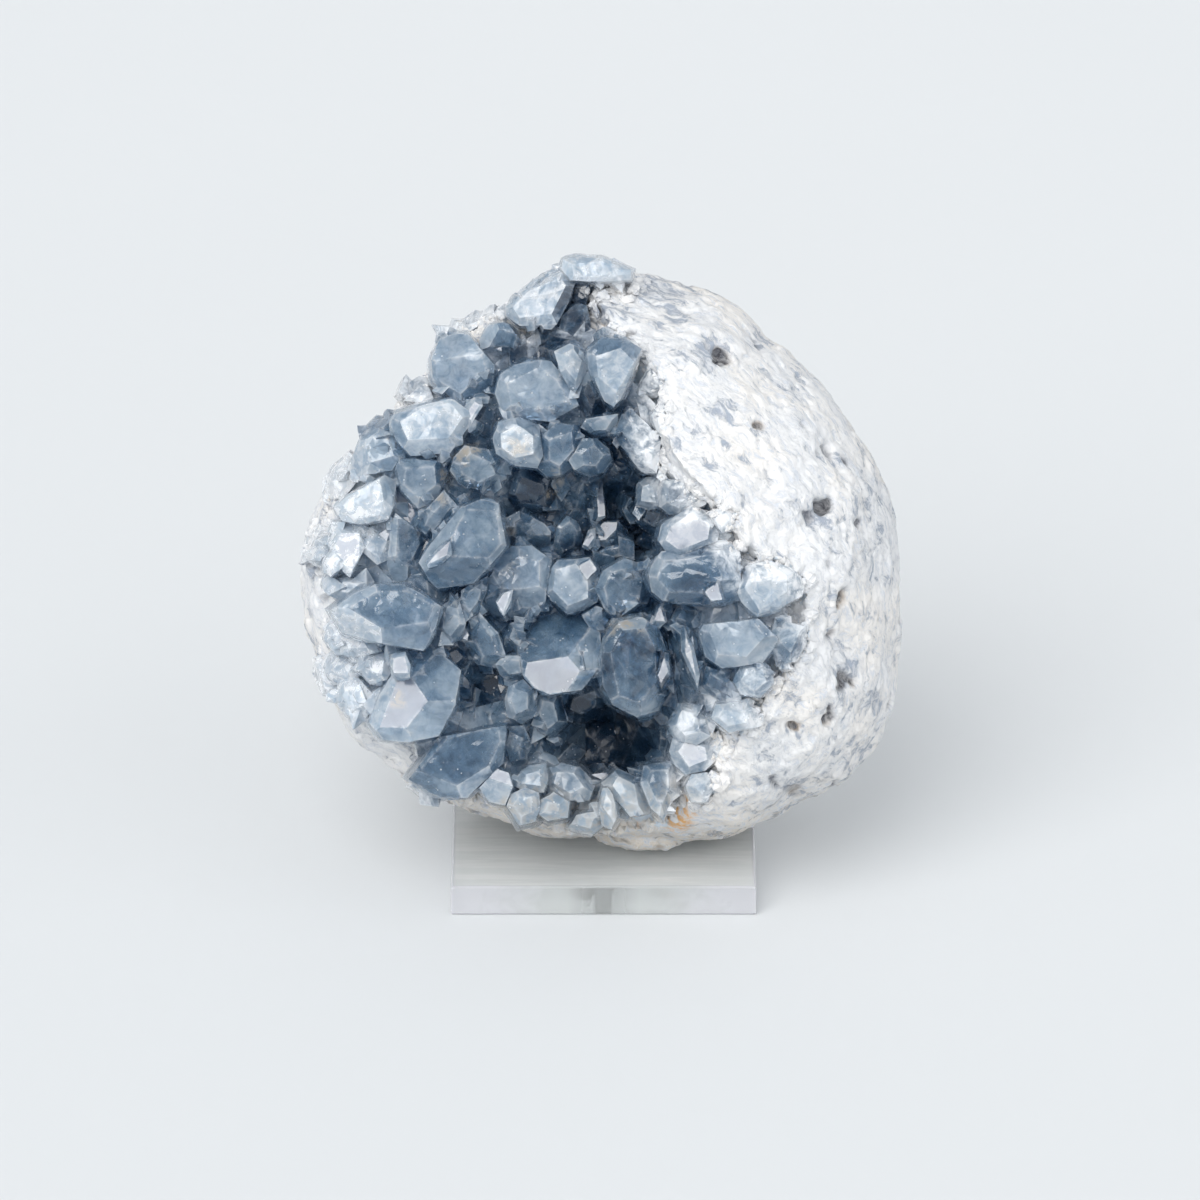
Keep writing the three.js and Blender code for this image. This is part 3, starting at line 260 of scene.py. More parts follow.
def take_up(obj):
    """Selects one object alone and makes it the active one."""
    clear_selection()
    obj.select_set(True)
    bpy.context.view_layer.objects.active = obj


def edit_all():
    """Opens the active object for editing, with all of it selected."""
    bpy.ops.object.mode_set(mode="EDIT")
    bpy.ops.mesh.select_all(action="SELECT")


def add_object(name, data):
    """A new object of the scene, from a mesh, a lamp or a camera."""
    obj = bpy.data.objects.new(name, data)
    bpy.context.scene.collection.objects.link(obj)
    return obj


def joined(pieces):
    """Joins objects in the first of them."""
    clear_selection()
    for piece in pieces:
        piece.select_set(True)
    bpy.context.view_layer.objects.active = pieces[0]
    bpy.ops.object.join()
    return pieces[0]


def dress(obj, material):
    """Gives an object one material, in place of those that it had."""
    obj.data.materials.clear()
    obj.data.materials.append(material)


def copy_of(node, name):
    """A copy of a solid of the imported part, with its own merged mesh."""
    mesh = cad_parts[node].data.copy()
    mesh.name = name
    mesh.materials.clear()
    obj = add_object(name, mesh)
    take_up(obj)
    edit_all()
    bpy.ops.mesh.remove_doubles(threshold=1e-6)
    bpy.ops.mesh.customdata_custom_splitnormals_clear()
    bpy.ops.object.mode_set(mode="OBJECT")
    return obj


def apply_all(obj):
    """Applies an object's modifiers, in their order."""
    take_up(obj)
    for modifier in list(obj.modifiers):
        bpy.ops.object.modifier_apply(modifier=modifier.name)


def settle(obj, slot, *nodes):
    """Hangs a finished piece under the root body and hides the imported solids that it stands for;
    slot, the name of its finish, is not used.
    """
    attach(obj, "root")
    if nodes:
        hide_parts(*nodes)


def fall(distance, reach):
    """One at the middle of a patch, nothing past its reach."""
    share = max(0.0, 1.0 - distance / reach)
    return min(1.0, share * 2.2)


def patch_strength(point, patches):
    """How strongly the patches mark a point of the open face."""
    strength = 0.0
    for x, y, reach, amount in patches:
        near = math.hypot(point.x - x, point.y - y)
        if near < reach:
            strength = max(strength, amount * fall(near, reach))
    return strength


class Materials:
    """Small helper that writes node trees."""

    def __init__(self, name):
        self.material = bpy.data.materials.new(name)
        self.material.use_nodes = True
        self.tree = self.material.node_tree
        self.tree.nodes.clear()
        self.output = self.add("ShaderNodeOutputMaterial")
        self.surface = self.add("ShaderNodeBsdfPrincipled")
        self.link(self.surface.outputs[0], self.output.inputs["Surface"])

    def add(self, kind, **settings):
        node = self.tree.nodes.new(kind)
        for key, value in settings.items():
            if key in node.inputs:
                node.inputs[key].default_value = value
            else:
                setattr(node, key, value)
        return node

    def link(self, a, b):
        self.tree.links.new(a, b)

    def feed(self, socket, value):
        """Links an output to a socket, or sets the socket to a number or a colour."""
        if isinstance(value, (int, float)):
            socket.default_value = value
        elif isinstance(value, tuple):
            socket.default_value = (*value, 1)
        else:
            self.link(value, socket)

    def set(self, **values):
        """Sets the surface's own sockets, with _ for a space in their names."""
        for key, value in values.items():
            self.surface.inputs[key.replace("_", " ")].default_value = value

    def place(self):
        """Object coordinates, in metres."""
        return self.add("ShaderNodeTexCoord").outputs["Object"]

    def face_place(self):
        """Coordinates on the open face: right, up and towards the eye."""
        mapping = self.add("ShaderNodeMapping", vector_type="TEXTURE")
        mapping.inputs["Location"].default_value = STONE_CENTRE
        mapping.inputs["Rotation"].default_value = (FACE_LEAN, 0, 0)
        self.link(self.place(), mapping.inputs["Vector"])
        return mapping.outputs[0]

    def noise(self, vector, scale, detail=4.0, rough=0.55, warp=0.0):
        """Soft random values of 0 to 1, most of them near the middle."""
        node = self.add(
            "ShaderNodeTexNoise", Scale=scale, Detail=detail, Roughness=rough, Distortion=warp
        )
        self.link(vector, node.inputs["Vector"])
        return node.outputs["Fac"]

    def warped(self, vector, scale, amount):
        """The same coordinates, pushed about by a noise."""
        node = self.add("ShaderNodeTexNoise", Scale=scale, Detail=3.0)
        self.link(vector, node.inputs["Vector"])
        push = self.add("ShaderNodeVectorMath", operation="MULTIPLY_ADD")
        push.inputs[1].default_value = (amount, amount, amount)
        self.link(node.outputs["Color"], push.inputs[0])
        self.link(vector, push.inputs[2])
        return push.outputs[0]

    def cells(self, vector, scale, feature="F1"):
        """Distance to the middle or to the edge of random cells."""
        node = self.add("ShaderNodeTexVoronoi", feature=feature, Scale=scale)
        self.link(vector, node.inputs["Vector"])
        return node.outputs["Distance"]

    def ramp(self, value, *stops):
        """Maps a value through colour stops, each (place, (r, g, b)) or (place, grey)."""
        node = self.add("ShaderNodeValToRGB")
        elements = node.color_ramp.elements
        while len(elements) < len(stops):
            elements.new(0.5)
        for element, (place, colour) in zip(elements, stops):
            if not isinstance(colour, tuple):
                colour = (colour, colour, colour)
            element.position = place
            element.color = (*colour, 1)
        self.link(value, node.inputs["Fac"])
        return node.outputs["Color"]

    def span(self, value, low, high, to_low=0.0, to_high=1.0):
        """Stretches the values from low to high over a new range, held at its ends."""
        node = self.add("ShaderNodeMapRange")
        limits = {"From Min": low, "From Max": high, "To Min": to_low, "To Max": to_high}
        for key, limit in limits.items():
            node.inputs[key].default_value = limit
        self.link(value, node.inputs["Value"])
        return node.outputs["Result"]

    def math(self, operation, *values):
        node = self.add("ShaderNodeMath", operation=operation)
        for socket, value in zip(node.inputs, values):
            self.feed(socket, value)
        return node.outputs[0]

    def times(self, a, b):
        return self.math("MULTIPLY", a, b)

    def plus(self, a, b):
        return self.math("ADD", a, b)

    def minus(self, a, b):
        return self.math("SUBTRACT", a, b)

    def larger(self, a, b):
        return self.math("MAXIMUM", a, b)

    def mix(self, share, a, b):
        """From a to b by a share of 0 to 1. Each of them is a colour or an output."""
        node = self.add("ShaderNodeMix", data_type="RGBA")
        for number, value in ((0, share), (6, a), (7, b)):
            self.feed(node.inputs[number], value)
        return node.outputs[2]

    def mark(self, name):
        """A number painted on the piece's faces."""
        node = self.add("ShaderNodeAttribute", attribute_type="GEOMETRY", attribute_name=name)
        return node.outputs["Fac"]

    def bump(self, height, strength, depth, below=None):
        """A fine relief of a depth in metres, on top of the one below it."""
        node = self.add("ShaderNodeBump", Distance=depth)
        self.feed(node.inputs["Strength"], strength)
        self.link(height, node.inputs["Height"])
        if below is not None:
            self.link(below, node.inputs["Normal"])
        return node.outputs["Normal"]

    def finish(self, colour, roughness=None, normal=None):
        """Links the surface's colour, roughness and relief. Returns the material."""
        self.link(colour, self.surface.inputs["Base Color"])
        if roughness is not None:
            self.link(roughness, self.surface.inputs["Roughness"])
        if normal is not None:
            self.link(normal, self.surface.inputs["Normal"])
        return self.material


def crystal_material(name, clear, tint, density):
    """Cloudy blue crystal: veils inside, frosted ends, specks of dust, painted highlights along the
    edges, painted shade in crevices and deep in the hollow, and a painted reflection tint on faces
    that mirror the key light.
    """
    m = Materials(name)
    place = m.face_place()
    # The deep mark is painted shade: it darkens the crystals and thins their frost and chalk
    deep = m.mark("deep")
    unshaded = m.span(deep, 0.35, 0.8, 1, 0.15)
    frost = m.times(m.mark("frost"), unshaded)
    glow = m.mark("glow")
    tone = m.mark("tone")
    rise = m.mark("rise")
    veil = m.noise(place, 120, 5, 0.6, 0.6)
    wisps = m.noise(place, 420, 5, 0.65, 0.6)
    # Painted shade and light: crevices darker and tips lighter, by how far a point stands proud
    level = m.plus(m.times(rise, 0.11), m.times(m.span(veil, 0.35, 0.65, -1, 1), 0.20))
    level = m.plus(level, m.times(tone, 0.19))
    level = m.plus(level, m.span(wisps, 0.36, 0.64, -0.07, 0.07))
    # Painted shade: darker where the hollow is deep
    level = m.plus(m.minus(level, m.times(deep, 0.49)), 0.47)
    level = m.plus(m.times(level, m.span(frost, 0, 1, 1, 0.4)), m.times(frost, 0.52))
    body = m.ramp(
        level,
        (0.0, (0.022, 0.056, 0.110)),
        (0.22, (0.105, 0.195, 0.305)),
        (0.46, (0.235, 0.355, 0.485)),
        (0.70, (0.48, 0.61, 0.73)),
        (1.0, (0.78, 0.86, 0.93)),
    )
    milk = m.times(frost, m.span(wisps, 0.36, 0.62, 0.2, 1.0))
    body = m.mix(milk, body, (0.82, 0.87, 0.92))
    # Faces that mirror the key light get a greyer, lavender body: a painted reflection tint
    mirror = m.mark("flat")
    body = m.mix(m.times(mirror, 0.7), body, (0.36, 0.39, 0.48))
    crust = m.times(m.mark("crusted"), unshaded)
    chalk = m.times(m.span(frost, 0.5, 1), m.span(wisps, 0.48, 0.58))
    creep = m.span(m.plus(m.span(veil, 0.35, 0.65, -0.3, 0.3), crust), 0.34, 0.76)
    chalk = m.larger(chalk, m.times(creep, m.span(wisps, 0.36, 0.52, 0.35, 1)))
    packed = m.larger(m.span(crust, 0.1, 0.55), m.span(frost, 0.55, 0.85))
    filled = m.times(packed, m.span(rise, -0.6, 0.05, 1, 0))
    body = m.mix(m.times(filled, m.span(wisps, 0.40, 0.56, 0.25, 0.8)), body, (0.74, 0.81, 0.90))
    body = m.mix(chalk, body, (0.93, 0.945, 0.965))
    druse = m.times(m.mark("druse"), m.span(wisps, 0.44, 0.54, 0.15, 1))
    body = m.mix(druse, body, (0.72, 0.63, 0.50))
    # Painted highlight: thin pale lines along the ridges, weaker where the crystal is painted
    # darker
    thin = m.math("POWER", glow, 5.0)
    rim = m.times(thin, m.span(wisps, 0.42, 0.57, 0.08, 0.95))
    rim = m.times(rim, m.span(level, 0.1, 0.6, 0.25, 1))
    body = m.mix(rim, body, (0.86, 0.91, 0.96))
    specks = m.cells(place, 620)
    luck = m.noise(place, 260, 2)
    dust = m.times(m.span(specks, 0.08, 0.15, 1, 0), m.span(luck, 0.5, 0.56))
    body = m.mix(m.times(dust, 0.8), body, (0.9, 0.93, 0.96))
    cloudy = m.larger(m.span(frost, 0, 1, 0, 0.6), chalk)
    m.link(m.span(cloudy, 0, 1, clear, clear * 0.4), m.surface.inputs["Transmission Weight"])
    rough = m.plus(m.span(milk, 0, 1, 0.08, 0.36), m.times(dust, 0.4))
    chisel = m.cells(place, 260, feature="DISTANCE_TO_EDGE")
    fine = m.noise(place, 900, 3, 0.6)
    relief = m.span(mirror, 0, 1, 1, 0)
    normal = m.bump(chisel, m.times(relief, 0.3), 0.0012)
    normal = m.bump(fine, 0.1, 0.0003, normal)
    m.set(IOR=1.62)
    absorb = m.add("ShaderNodeVolumeAbsorption")
    absorb.inputs["Color"].default_value = (*tint, 1)
    absorb.inputs["Density"].default_value = density
    m.link(absorb.outputs[0], m.output.inputs["Volume"])
    return m.finish(body, rough, normal)


def rind_material(chalk):
    """Chalky rind: brushed flakes, grey-blue patches, pits, stains and a blue-grey lining under the
    crystals, with painted shade where the hollow is deep.
    """
    m = Materials("chalky_rind")
    place = m.place()
    flow = m.add("ShaderNodeMapping", vector_type="TEXTURE")
    flow.inputs["Rotation"].default_value = (-0.3, -0.82, 0.0)
    flow.inputs["Scale"].default_value = (1.0, 1.0, 2.4)
    m.link(m.warped(place, 90, 0.009), flow.inputs["Vector"])
    streak = flow.outputs[0]
    broad = m.noise(place, 34, 4, 0.6, 0.8)
    patch = m.noise(streak, 260, 8, 0.70, 0.4)
    flake = m.noise(streak, 640, 8, 0.72, 0.3)
    grain = m.noise(place, 2300, 3, 0.7)
    warm = m.noise(place, 60, 3, 0.5, 0.3)
    white = m.mix(m.span(warm, 0.44, 0.62), chalk, (0.86, 0.84, 0.815))
    brushed = m.span(flake, 0.375, 0.50)
    body = m.mix(brushed, (0.60, 0.63, 0.68), white)
    thin = m.mark("thin")
    edge = m.plus(m.span(broad, 0.35, 0.65, 0.375, 0.455), m.times(thin, 0.13))
    grey = m.span(m.minus(edge, patch), -0.015, 0.03)
    torn = m.times(grey, m.span(flake, 0.44, 0.56, 1, 0.3))
    body = m.mix(torn, body, (0.38, 0.425, 0.50))
    height = m.add("ShaderNodeSeparateXYZ")
    m.link(place, height.inputs[0])
    low = m.span(height.outputs["Z"], 0.010, 0.032, 1, 0)
    body = m.mix(m.times(low, m.span(flake, 0.44, 0.58, 0, 0.7)), body, (0.64, 0.565, 0.47))
    body = m.mix(m.times(low, m.span(patch, 0.36, 0.46, 0.6, 0)), body, (0.30, 0.27, 0.24))
    behind = m.times(m.span(height.outputs["Y"], 0.012, 0.045), m.span(broad, 0.46, 0.60))
    body = m.mix(m.times(behind, m.span(flake, 0.40, 0.58, 0.1, 0.6)), body, (0.62, 0.545, 0.45))
    body = m.mix(m.times(m.mark("rust"), m.span(flake, 0.4, 0.55)), body, (0.72, 0.42, 0.18))
    # Pits are grey to brown inside, and darker the deeper they are, down to near black
    pit_colour = m.mix(m.span(warm, 0.48, 0.58), (0.27, 0.285, 0.32), (0.42, 0.33, 0.24))
    sunk = m.mark("pit")
    pit_colour = m.mix(m.span(sunk, 0.35, 0.8), pit_colour, (0.07, 0.07, 0.08))
    body = m.mix(m.times(m.span(sunk, 0, 0.5), m.span(flake, 0.40, 0.60, 1, 0.5)), body, pit_colour)
    # Painted shade: the lining goes near black where the hollow is deep
    lining = m.mix(m.mark("deep"), (0.66, 0.74, 0.82), (0.03, 0.06, 0.11))
    body = m.mix(m.mark("lined"), body, lining)
    rough = m.span(grain, 0.3, 0.7, 0.75, 0.95)
    ledges = m.minus(m.span(flake, 0.42, 0.56), m.times(grey, 1.3))
    normal = m.bump(ledges, 0.6, 0.00024)
    normal = m.bump(grain, 0.35, 0.0004, normal)
    m.set(Specular_IOR_Level=0.2)
    return m.finish(body, rough, normal)


def acrylic_material(name):
    """Clear cast acrylic: faint wipe marks on top, sides clearer and greener in the middle."""
    m = Materials(name)
    place = m.place()
    haze = m.noise(place, 130, 3, 0.6, 0.5)
    wiped = m.add("ShaderNodeMapping", vector_type="TEXTURE")
    wiped.inputs["Scale"].default_value = (9.0, 1.0, 1.0)
    m.link(place, wiped.inputs["Vector"])
    wipe = m.noise(wiped.outputs[0], 420, 4, 0.6, 0.4)
    axes = m.add("ShaderNodeSeparateXYZ")
    m.link(place, axes.inputs[0])
    along = m.math("ABSOLUTE", axes.outputs["X"])
    deep = m.math("ABSOLUTE", axes.outputs["Y"])
    side = m.span(m.larger(along, deep), 0.0309, 0.0314)
    drilled = m.span(m.larger(along, deep), 0.0018, 0.0022, 1, 0)
    top = m.mix(m.span(wipe, 0.42, 0.62), (0.95, 0.97, 0.965), (0.985, 0.992, 0.985))
    ends = m.plus(along, m.span(haze, 0.3, 0.7, -0.006, 0.006))
    milky = m.span(ends, 0.012, 0.024)
    sides = m.mix(milky, (0.93, 0.965, 0.96), (0.91, 0.915, 0.965))
    below_top = m.span(axes.outputs["Z"], 0.0060, 0.0062, 1, 0)
    window = m.times(m.span(along, 0.0022, 0.0075, 1, 0), below_top)
    see = m.mix(side, m.span(wipe, 0.42, 0.62, 0.54, 0.51), m.span(milky, 0, 1, 0.65, 0.57))
    see = m.mix(window, see, (0.80, 0.80, 0.80))
    see = m.mix(drilled, see, (0.30, 0.30, 0.30))
    m.link(see, m.surface.inputs["Transmission Weight"])
    rough = m.minus(m.span(haze, 0.35, 0.7, 0.05, 0.1), m.times(side, 0.04))
    m.set(IOR=1.49)
    return m.finish(m.mix(side, top, sides), rough)


def stud_material():
    """Milky clear plastic of the threaded stud."""
    m = Materials("clear_stud")
    haze = m.noise(m.place(), 900, 3, 0.6, 0.5)
    colour = m.ramp(haze, (0.3, (0.90, 0.91, 0.92)), (0.7, (0.97, 0.97, 0.975)))
    m.set(IOR=1.49, Transmission_Weight=0.1, Roughness=0.15)
    return m.finish(colour)


def floor_material():
    """Pale matt table that gives back some light of its own, so that shadows stay soft."""
    m = Materials("pale_floor")
    cloud = m.noise(m.place(), 3, 2)
    colour = m.ramp(cloud, (0.3, (0.545, 0.559, 0.571)), (0.7, (0.553, 0.567, 0.579)))
    m.set(Roughness=0.95, Specular_IOR_Level=0.0)
    m.set(Emission_Color=(0.92, 0.965, 0.99, 1), Emission_Strength=0.165)
    return m.finish(colour)


def paint(mesh, name, values, domain="FACE"):
    """Stores one number for each face or corner point under a name that materials read."""
    attribute = mesh.attributes.get(name) or mesh.attributes.new(name, "FLOAT", domain)
    attribute.data.foreach_set("value", values)


def grown_crystals(mesh):
    """Numbers the crystals: faces that meet in a ridge belong together, a valley parts them."""
    bm = bmesh.new()
    bm.from_mesh(mesh)
    bm.faces.ensure_lookup_table()
    number = [-1] * len(bm.faces)
    count = 0
    for start in bm.faces:
        if number[start.index] >= 0:
            continue
        number[start.index] = count
        front = [start]
        while front:
            face = front.pop()
            for edge in face.edges:
                if len(edge.link_faces) != 2:
                    continue
                other = edge.link_faces[0] if edge.link_faces[1] is face else edge.link_faces[1]
                if number[other.index] >= 0:
                    continue
                if edge.is_convex or edge.calc_face_angle(0.0) < 0.02:
                    number[other.index] = count
                    front.append(other)
        count += 1
    bm.free()
    return number, count


def search_tree(points):
    """A tree that finds the nearest of some points."""
    tree = KDTree(len(points))
    for k, point in enumerate(points):
        tree.insert(point, k)
    tree.balance()
    return tree


def surface_tree(mesh):
    """A tree that finds the nearest point of a mesh's surface."""
    corners = [v.co.copy() for v in mesh.vertices]
    return BVHTree.FromPolygons(corners, [p.vertices[:] for p in mesh.polygons])


def ridge_points(mesh, step):
    """A search tree of points along every outer ridge of the crystals."""
    bm = bmesh.new()
    bm.from_mesh(mesh)
    points = []
    for edge in bm.edges:
        if len(edge.link_faces) == 2 and edge.is_convex and edge.calc_face_angle(0.0) > CREASE:
            a, b = edge.verts[0].co, edge.verts[1].co
            parts = max(1, int((b - a).length / step))
            points += [a.lerp(b, k / parts) for k in range(parts + 1)]
    bm.free()
    return search_tree(points)


def cleft(place, scale):
    """Distance in metres to the nearest cleavage plane of a random set of chisel-cut cells."""
    _, points = noise.voronoi(place * scale)
    across = points[1] - points[0]
    if across.length < 1e-6:
        return 0.0
    middle = (points[0] + points[1]) / 2
    return max(0.0, (middle - place * scale).dot(across.normalized())) / scale


class Relief:
    """Level of the crystals' tops over the open face, to tell a tip from a crevice."""

    CELL = 0.0015
    DEPTH = 0.005
    BLURS = 14

    def __init__(self, places):
        spots = np.array(places)
        self.low = spots[:, :2].min(axis=0)
        column = self.column(spots)
        top = np.full(column.max(axis=0) + 1, -1.0)
        np.maximum.at(top, (column[:, 0], column[:, 1]), spots[:, 2])
        known = top > -1.0
        height = np.where(known, top, 0.0)
        weight = known.astype(float)
        for _ in range(self.BLURS):
            for axis in (0, 1):
                height = (np.roll(height, 1, axis) + 2 * height + np.roll(height, -1, axis)) / 4
                weight = (np.roll(weight, 1, axis) + 2 * weight + np.roll(weight, -1, axis)) / 4
        self.level = height / np.maximum(weight, 1e-6)

    def column(self, spots):
        return ((spots[:, :2] - self.low) / self.CELL).astype(int)

    def rises(self, places):
        """How far each point stands proud of those around it: -1 in a crevice, 1 on a tip."""
        spots = np.array(places)
        column = np.clip(self.column(spots), 0, np.array(self.level.shape) - 1)
        over = (spots[:, 2] - self.level[column[:, 0], column[:, 1]]) / self.DEPTH
        return np.clip(over, -1.0, 1.0).tolist()


def closeness(points, others, reach):
    """One where a point lies among the others, falling to nothing at the reach."""
    tree = search_tree(others)
    return [max(0.0, 1.0 - tree.find(point)[2] / reach) for point in points]


def drop_fins(bm):
    """Deletes faces that lie back to back, as triangulation leaves them along straight edges."""
    groups = {}
    for face in bm.faces:
        groups.setdefault(frozenset(face.verts), []).append(face)
    fins = [face for group in groups.values() if len(group) > 1 for face in group]
    bmesh.ops.delete(bm, geom=fins, context="FACES")


def even_out(mesh, longest):
    """Splits the long edges of what shows until the facets are small enough to shape."""
    bm = bmesh.new()
    bm.from_mesh(mesh)
    bmesh.ops.triangulate(bm, faces=bm.faces[:])
    drop_fins(bm)
    for _ in range(6):
        facing = [face for face in bm.faces if face.normal.dot(TOWARD_EYE) > -0.1]
        shown = {edge for face in facing for edge in face.edges}
        long_edges = [edge for edge in bm.edges if edge in shown and edge.calc_length() > longest]
        if not long_edges:
            break
        bmesh.ops.subdivide_edges(bm, edges=long_edges, cuts=1)
        bmesh.ops.triangulate(bm, faces=[face for face in bm.faces if len(face.verts) > 3])
        drop_fins(bm)
    bm.to_mesh(mesh)
    bm.free()


class GeodeSizes(bpy.types.PropertyGroup):
    """Sizes of the geode's surface detail."""

    rind_grain: bpy.props.FloatProperty(
        name="Rind grain", description="Size of the facets that the rind is rebuilt from",
        default=0.00075, unit="LENGTH",
    )
    crystal_grain: bpy.props.FloatProperty(
        name="Crystal grain", description="Longest edge of the crystals' facets",
        default=0.0014, unit="LENGTH",
    )
    stud_pitch: bpy.props.FloatProperty(
        name="Thread pitch", description="Rise of the stud's thread in one turn",
        default=0.00125, unit="LENGTH",
    )
    crumb_count: bpy.props.IntProperty(
        name="Chalk crumbs", description="How many crumbs of chalk lie along the lip of the hollow",
        default=2200, min=1,
    )
    small_crystals: bpy.props.IntProperty(
        name="Small crystals", description="How many small crystals stand between the large ones",
        default=460, min=1,
    )


class GeodeColours(bpy.types.PropertyGroup):
    """Colours of the geode and its base."""

    crystal_tint: bpy.props.FloatVectorProperty(
        name="Crystal tint", description="Colour of light that has passed through the crystal",
        default=(0.48, 0.66, 0.84), subtype="COLOR",
    )
    rind_white: bpy.props.FloatVectorProperty(
        name="Rind white", description="Colour of the clean chalk of the rind",
        default=(0.82, 0.828, 0.84), subtype="COLOR",
    )


def chisel_crystal(name, wide, tall, sides, draws):
    """One small crystal standing on its foot: a prism with a slanting, chiselled top."""
    clear_selection()
    bpy.ops.mesh.primitive_cylinder_add(vertices=sides, radius=0.5, depth=1.0, location=(0, 0, 0.5))
    obj = bpy.context.object
    obj.name = name
    edit_all()
    bpy.ops.transform.resize(value=(wide, 0.72, tall), center_override=(0, 0, 0))
    for _ in range(3):
        turn = draws.uniform(0, math.tau)
        lean = draws.uniform(0.7, 1.1)
        normal = (math.cos(turn) * lean, math.sin(turn) * lean, 1.0)
        top = (0, 0, tall * draws.uniform(0.82, 0.98))
        bpy.ops.mesh.select_all(action="SELECT")
        bpy.ops.mesh.bisect(plane_co=top, plane_no=normal, use_fill=True, clear_outer=True)
    bpy.ops.mesh.select_all(action="SELECT")
    bpy.ops.mesh.dissolve_limited(angle_limit=math.radians(1))
    bpy.ops.mesh.select_all(action="SELECT")
    bpy.ops.mesh.normals_make_consistent(inside=False)
    bpy.ops.object.mode_set(mode="OBJECT")
    return obj


def scatter(mesh, count, draws):
    """Random points over the faces of a mesh that face the eye, each with its face's normal."""
    mesh.calc_loop_triangles()
    triangles = [t for t in mesh.loop_triangles if t.normal.dot(TOWARD_EYE) > 0.05]
    areas = [t.area for t in triangles]
    points = []
    for triangle in draws.choices(triangles, weights=areas, k=count):
        a, b, c = (mesh.vertices[k].co for k in triangle.vertices)
        u, v = draws.random(), draws.random()
        if u + v > 1:
            u, v = 1 - u, 1 - v
        points.append((a + (b - a) * u + (c - a) * v, triangle.normal.copy()))
    return points


def small_crystals(crust, count, draws):
    """Small crystals for the gaps of the crust: each one's place, size and closed mesh."""
    kinds = []
    for k, sides in enumerate((4, 5, 6, 6, 4)):
        wide, tall = draws.uniform(0.75, 1.15), draws.uniform(1.1, 1.7)
        kinds.append(chisel_crystal(f"small_{k}", wide, tall, sides, draws))
    points = scatter(crust.data, GAP_SAMPLES, draws)
    places = [WORLD_TO_FACE @ point for point, _ in points]
    rises = Relief(places).rises(places)
    chosen = []
    for (point, normal), place, rise in zip(points, places, rises):
        if rise > GAP_LEVEL or normal.dot(TOWARD_EYE) < 0.1 or place.y < LOWEST_SMALL:
            continue
        if patch_strength(place / MM, PAINTED_SHADE) > 0.45:
            continue
        size = (draws.uniform(2.4, 4.0) + 4.6 * (GAP_LEVEL - rise)) * MM
        if any((point - other).length < 0.36 * (size + wide) for other, wide, _ in chosen):
            continue
        stray = Vector([draws.uniform(-0.5, 0.5) for _ in range(3)])
        axis = normal * 0.4 + TOWARD_EYE * 0.9 + stray
        spin = Matrix.Rotation(draws.uniform(0, math.tau), 4, "Z")
        stand = axis.normalized().to_track_quat("Z", "Y").to_matrix().to_4x4()
        foot = Matrix.Translation(point - axis.normalized() * size * 0.55)
        mesh = draws.choice(kinds).data.copy()
        mesh.transform(foot @ stand @ spin @ Matrix.Scale(size, 4))
        chosen.append((point, size, mesh))
        if len(chosen) >= count:
            break
    for kind in kinds:
        bpy.data.objects.remove(kind)
    return chosen


def grow_together(crust, small):
    """Joins small crystals to the crust in one solid, in batches whose members don't touch."""
    batches = []
    for point, size, mesh in small:
        for batch in batches:
            if all((point - other).length > 0.85 * (size + wide) for other, wide, _ in batch):
                batch.append((point, size, mesh))
                break
        else:
            batches.append([(point, size, mesh)])
    for batch in batches:
        grown = joined([add_object("small", mesh) for _, _, mesh in batch])
        union = crust.modifiers.new("grown together", "BOOLEAN")
        union.operation = "UNION"
        union.solver = "MANIFOLD"
        union.object = grown
        apply_all(crust)
        bpy.data.objects.remove(grown)


def worn(mesh, places, ridges, mirror):
    """Chips the ridges and steps the faces, except those that mirror the light.

    Returns how near each corner point is to a ridge, from 0 to 1, which the material paints as a
    highlight.
    """
    nearness = []
    outward = [v.normal.copy() for v in mesh.vertices]
    for v, out, place in zip(mesh.vertices, outward, places):
        close = math.exp(-((ridges.find(v.co)[2] / WEAR_AND_HIGHLIGHT_REACH) ** 2))
        chip = max(0.0, noise.fractal(place * 330, 1.0, 2.0, 3) - 0.05)
        calm = 0.0 if out.dot(mirror) > 0.985 else 1 - close
        step = CLEAVAGE_SHARE * cleft(place, CLEAVAGE_CELLS) * calm
        v.co -= out * (CHIP_DEPTH * chip * close - step)
        nearness.append(close)
    return nearness


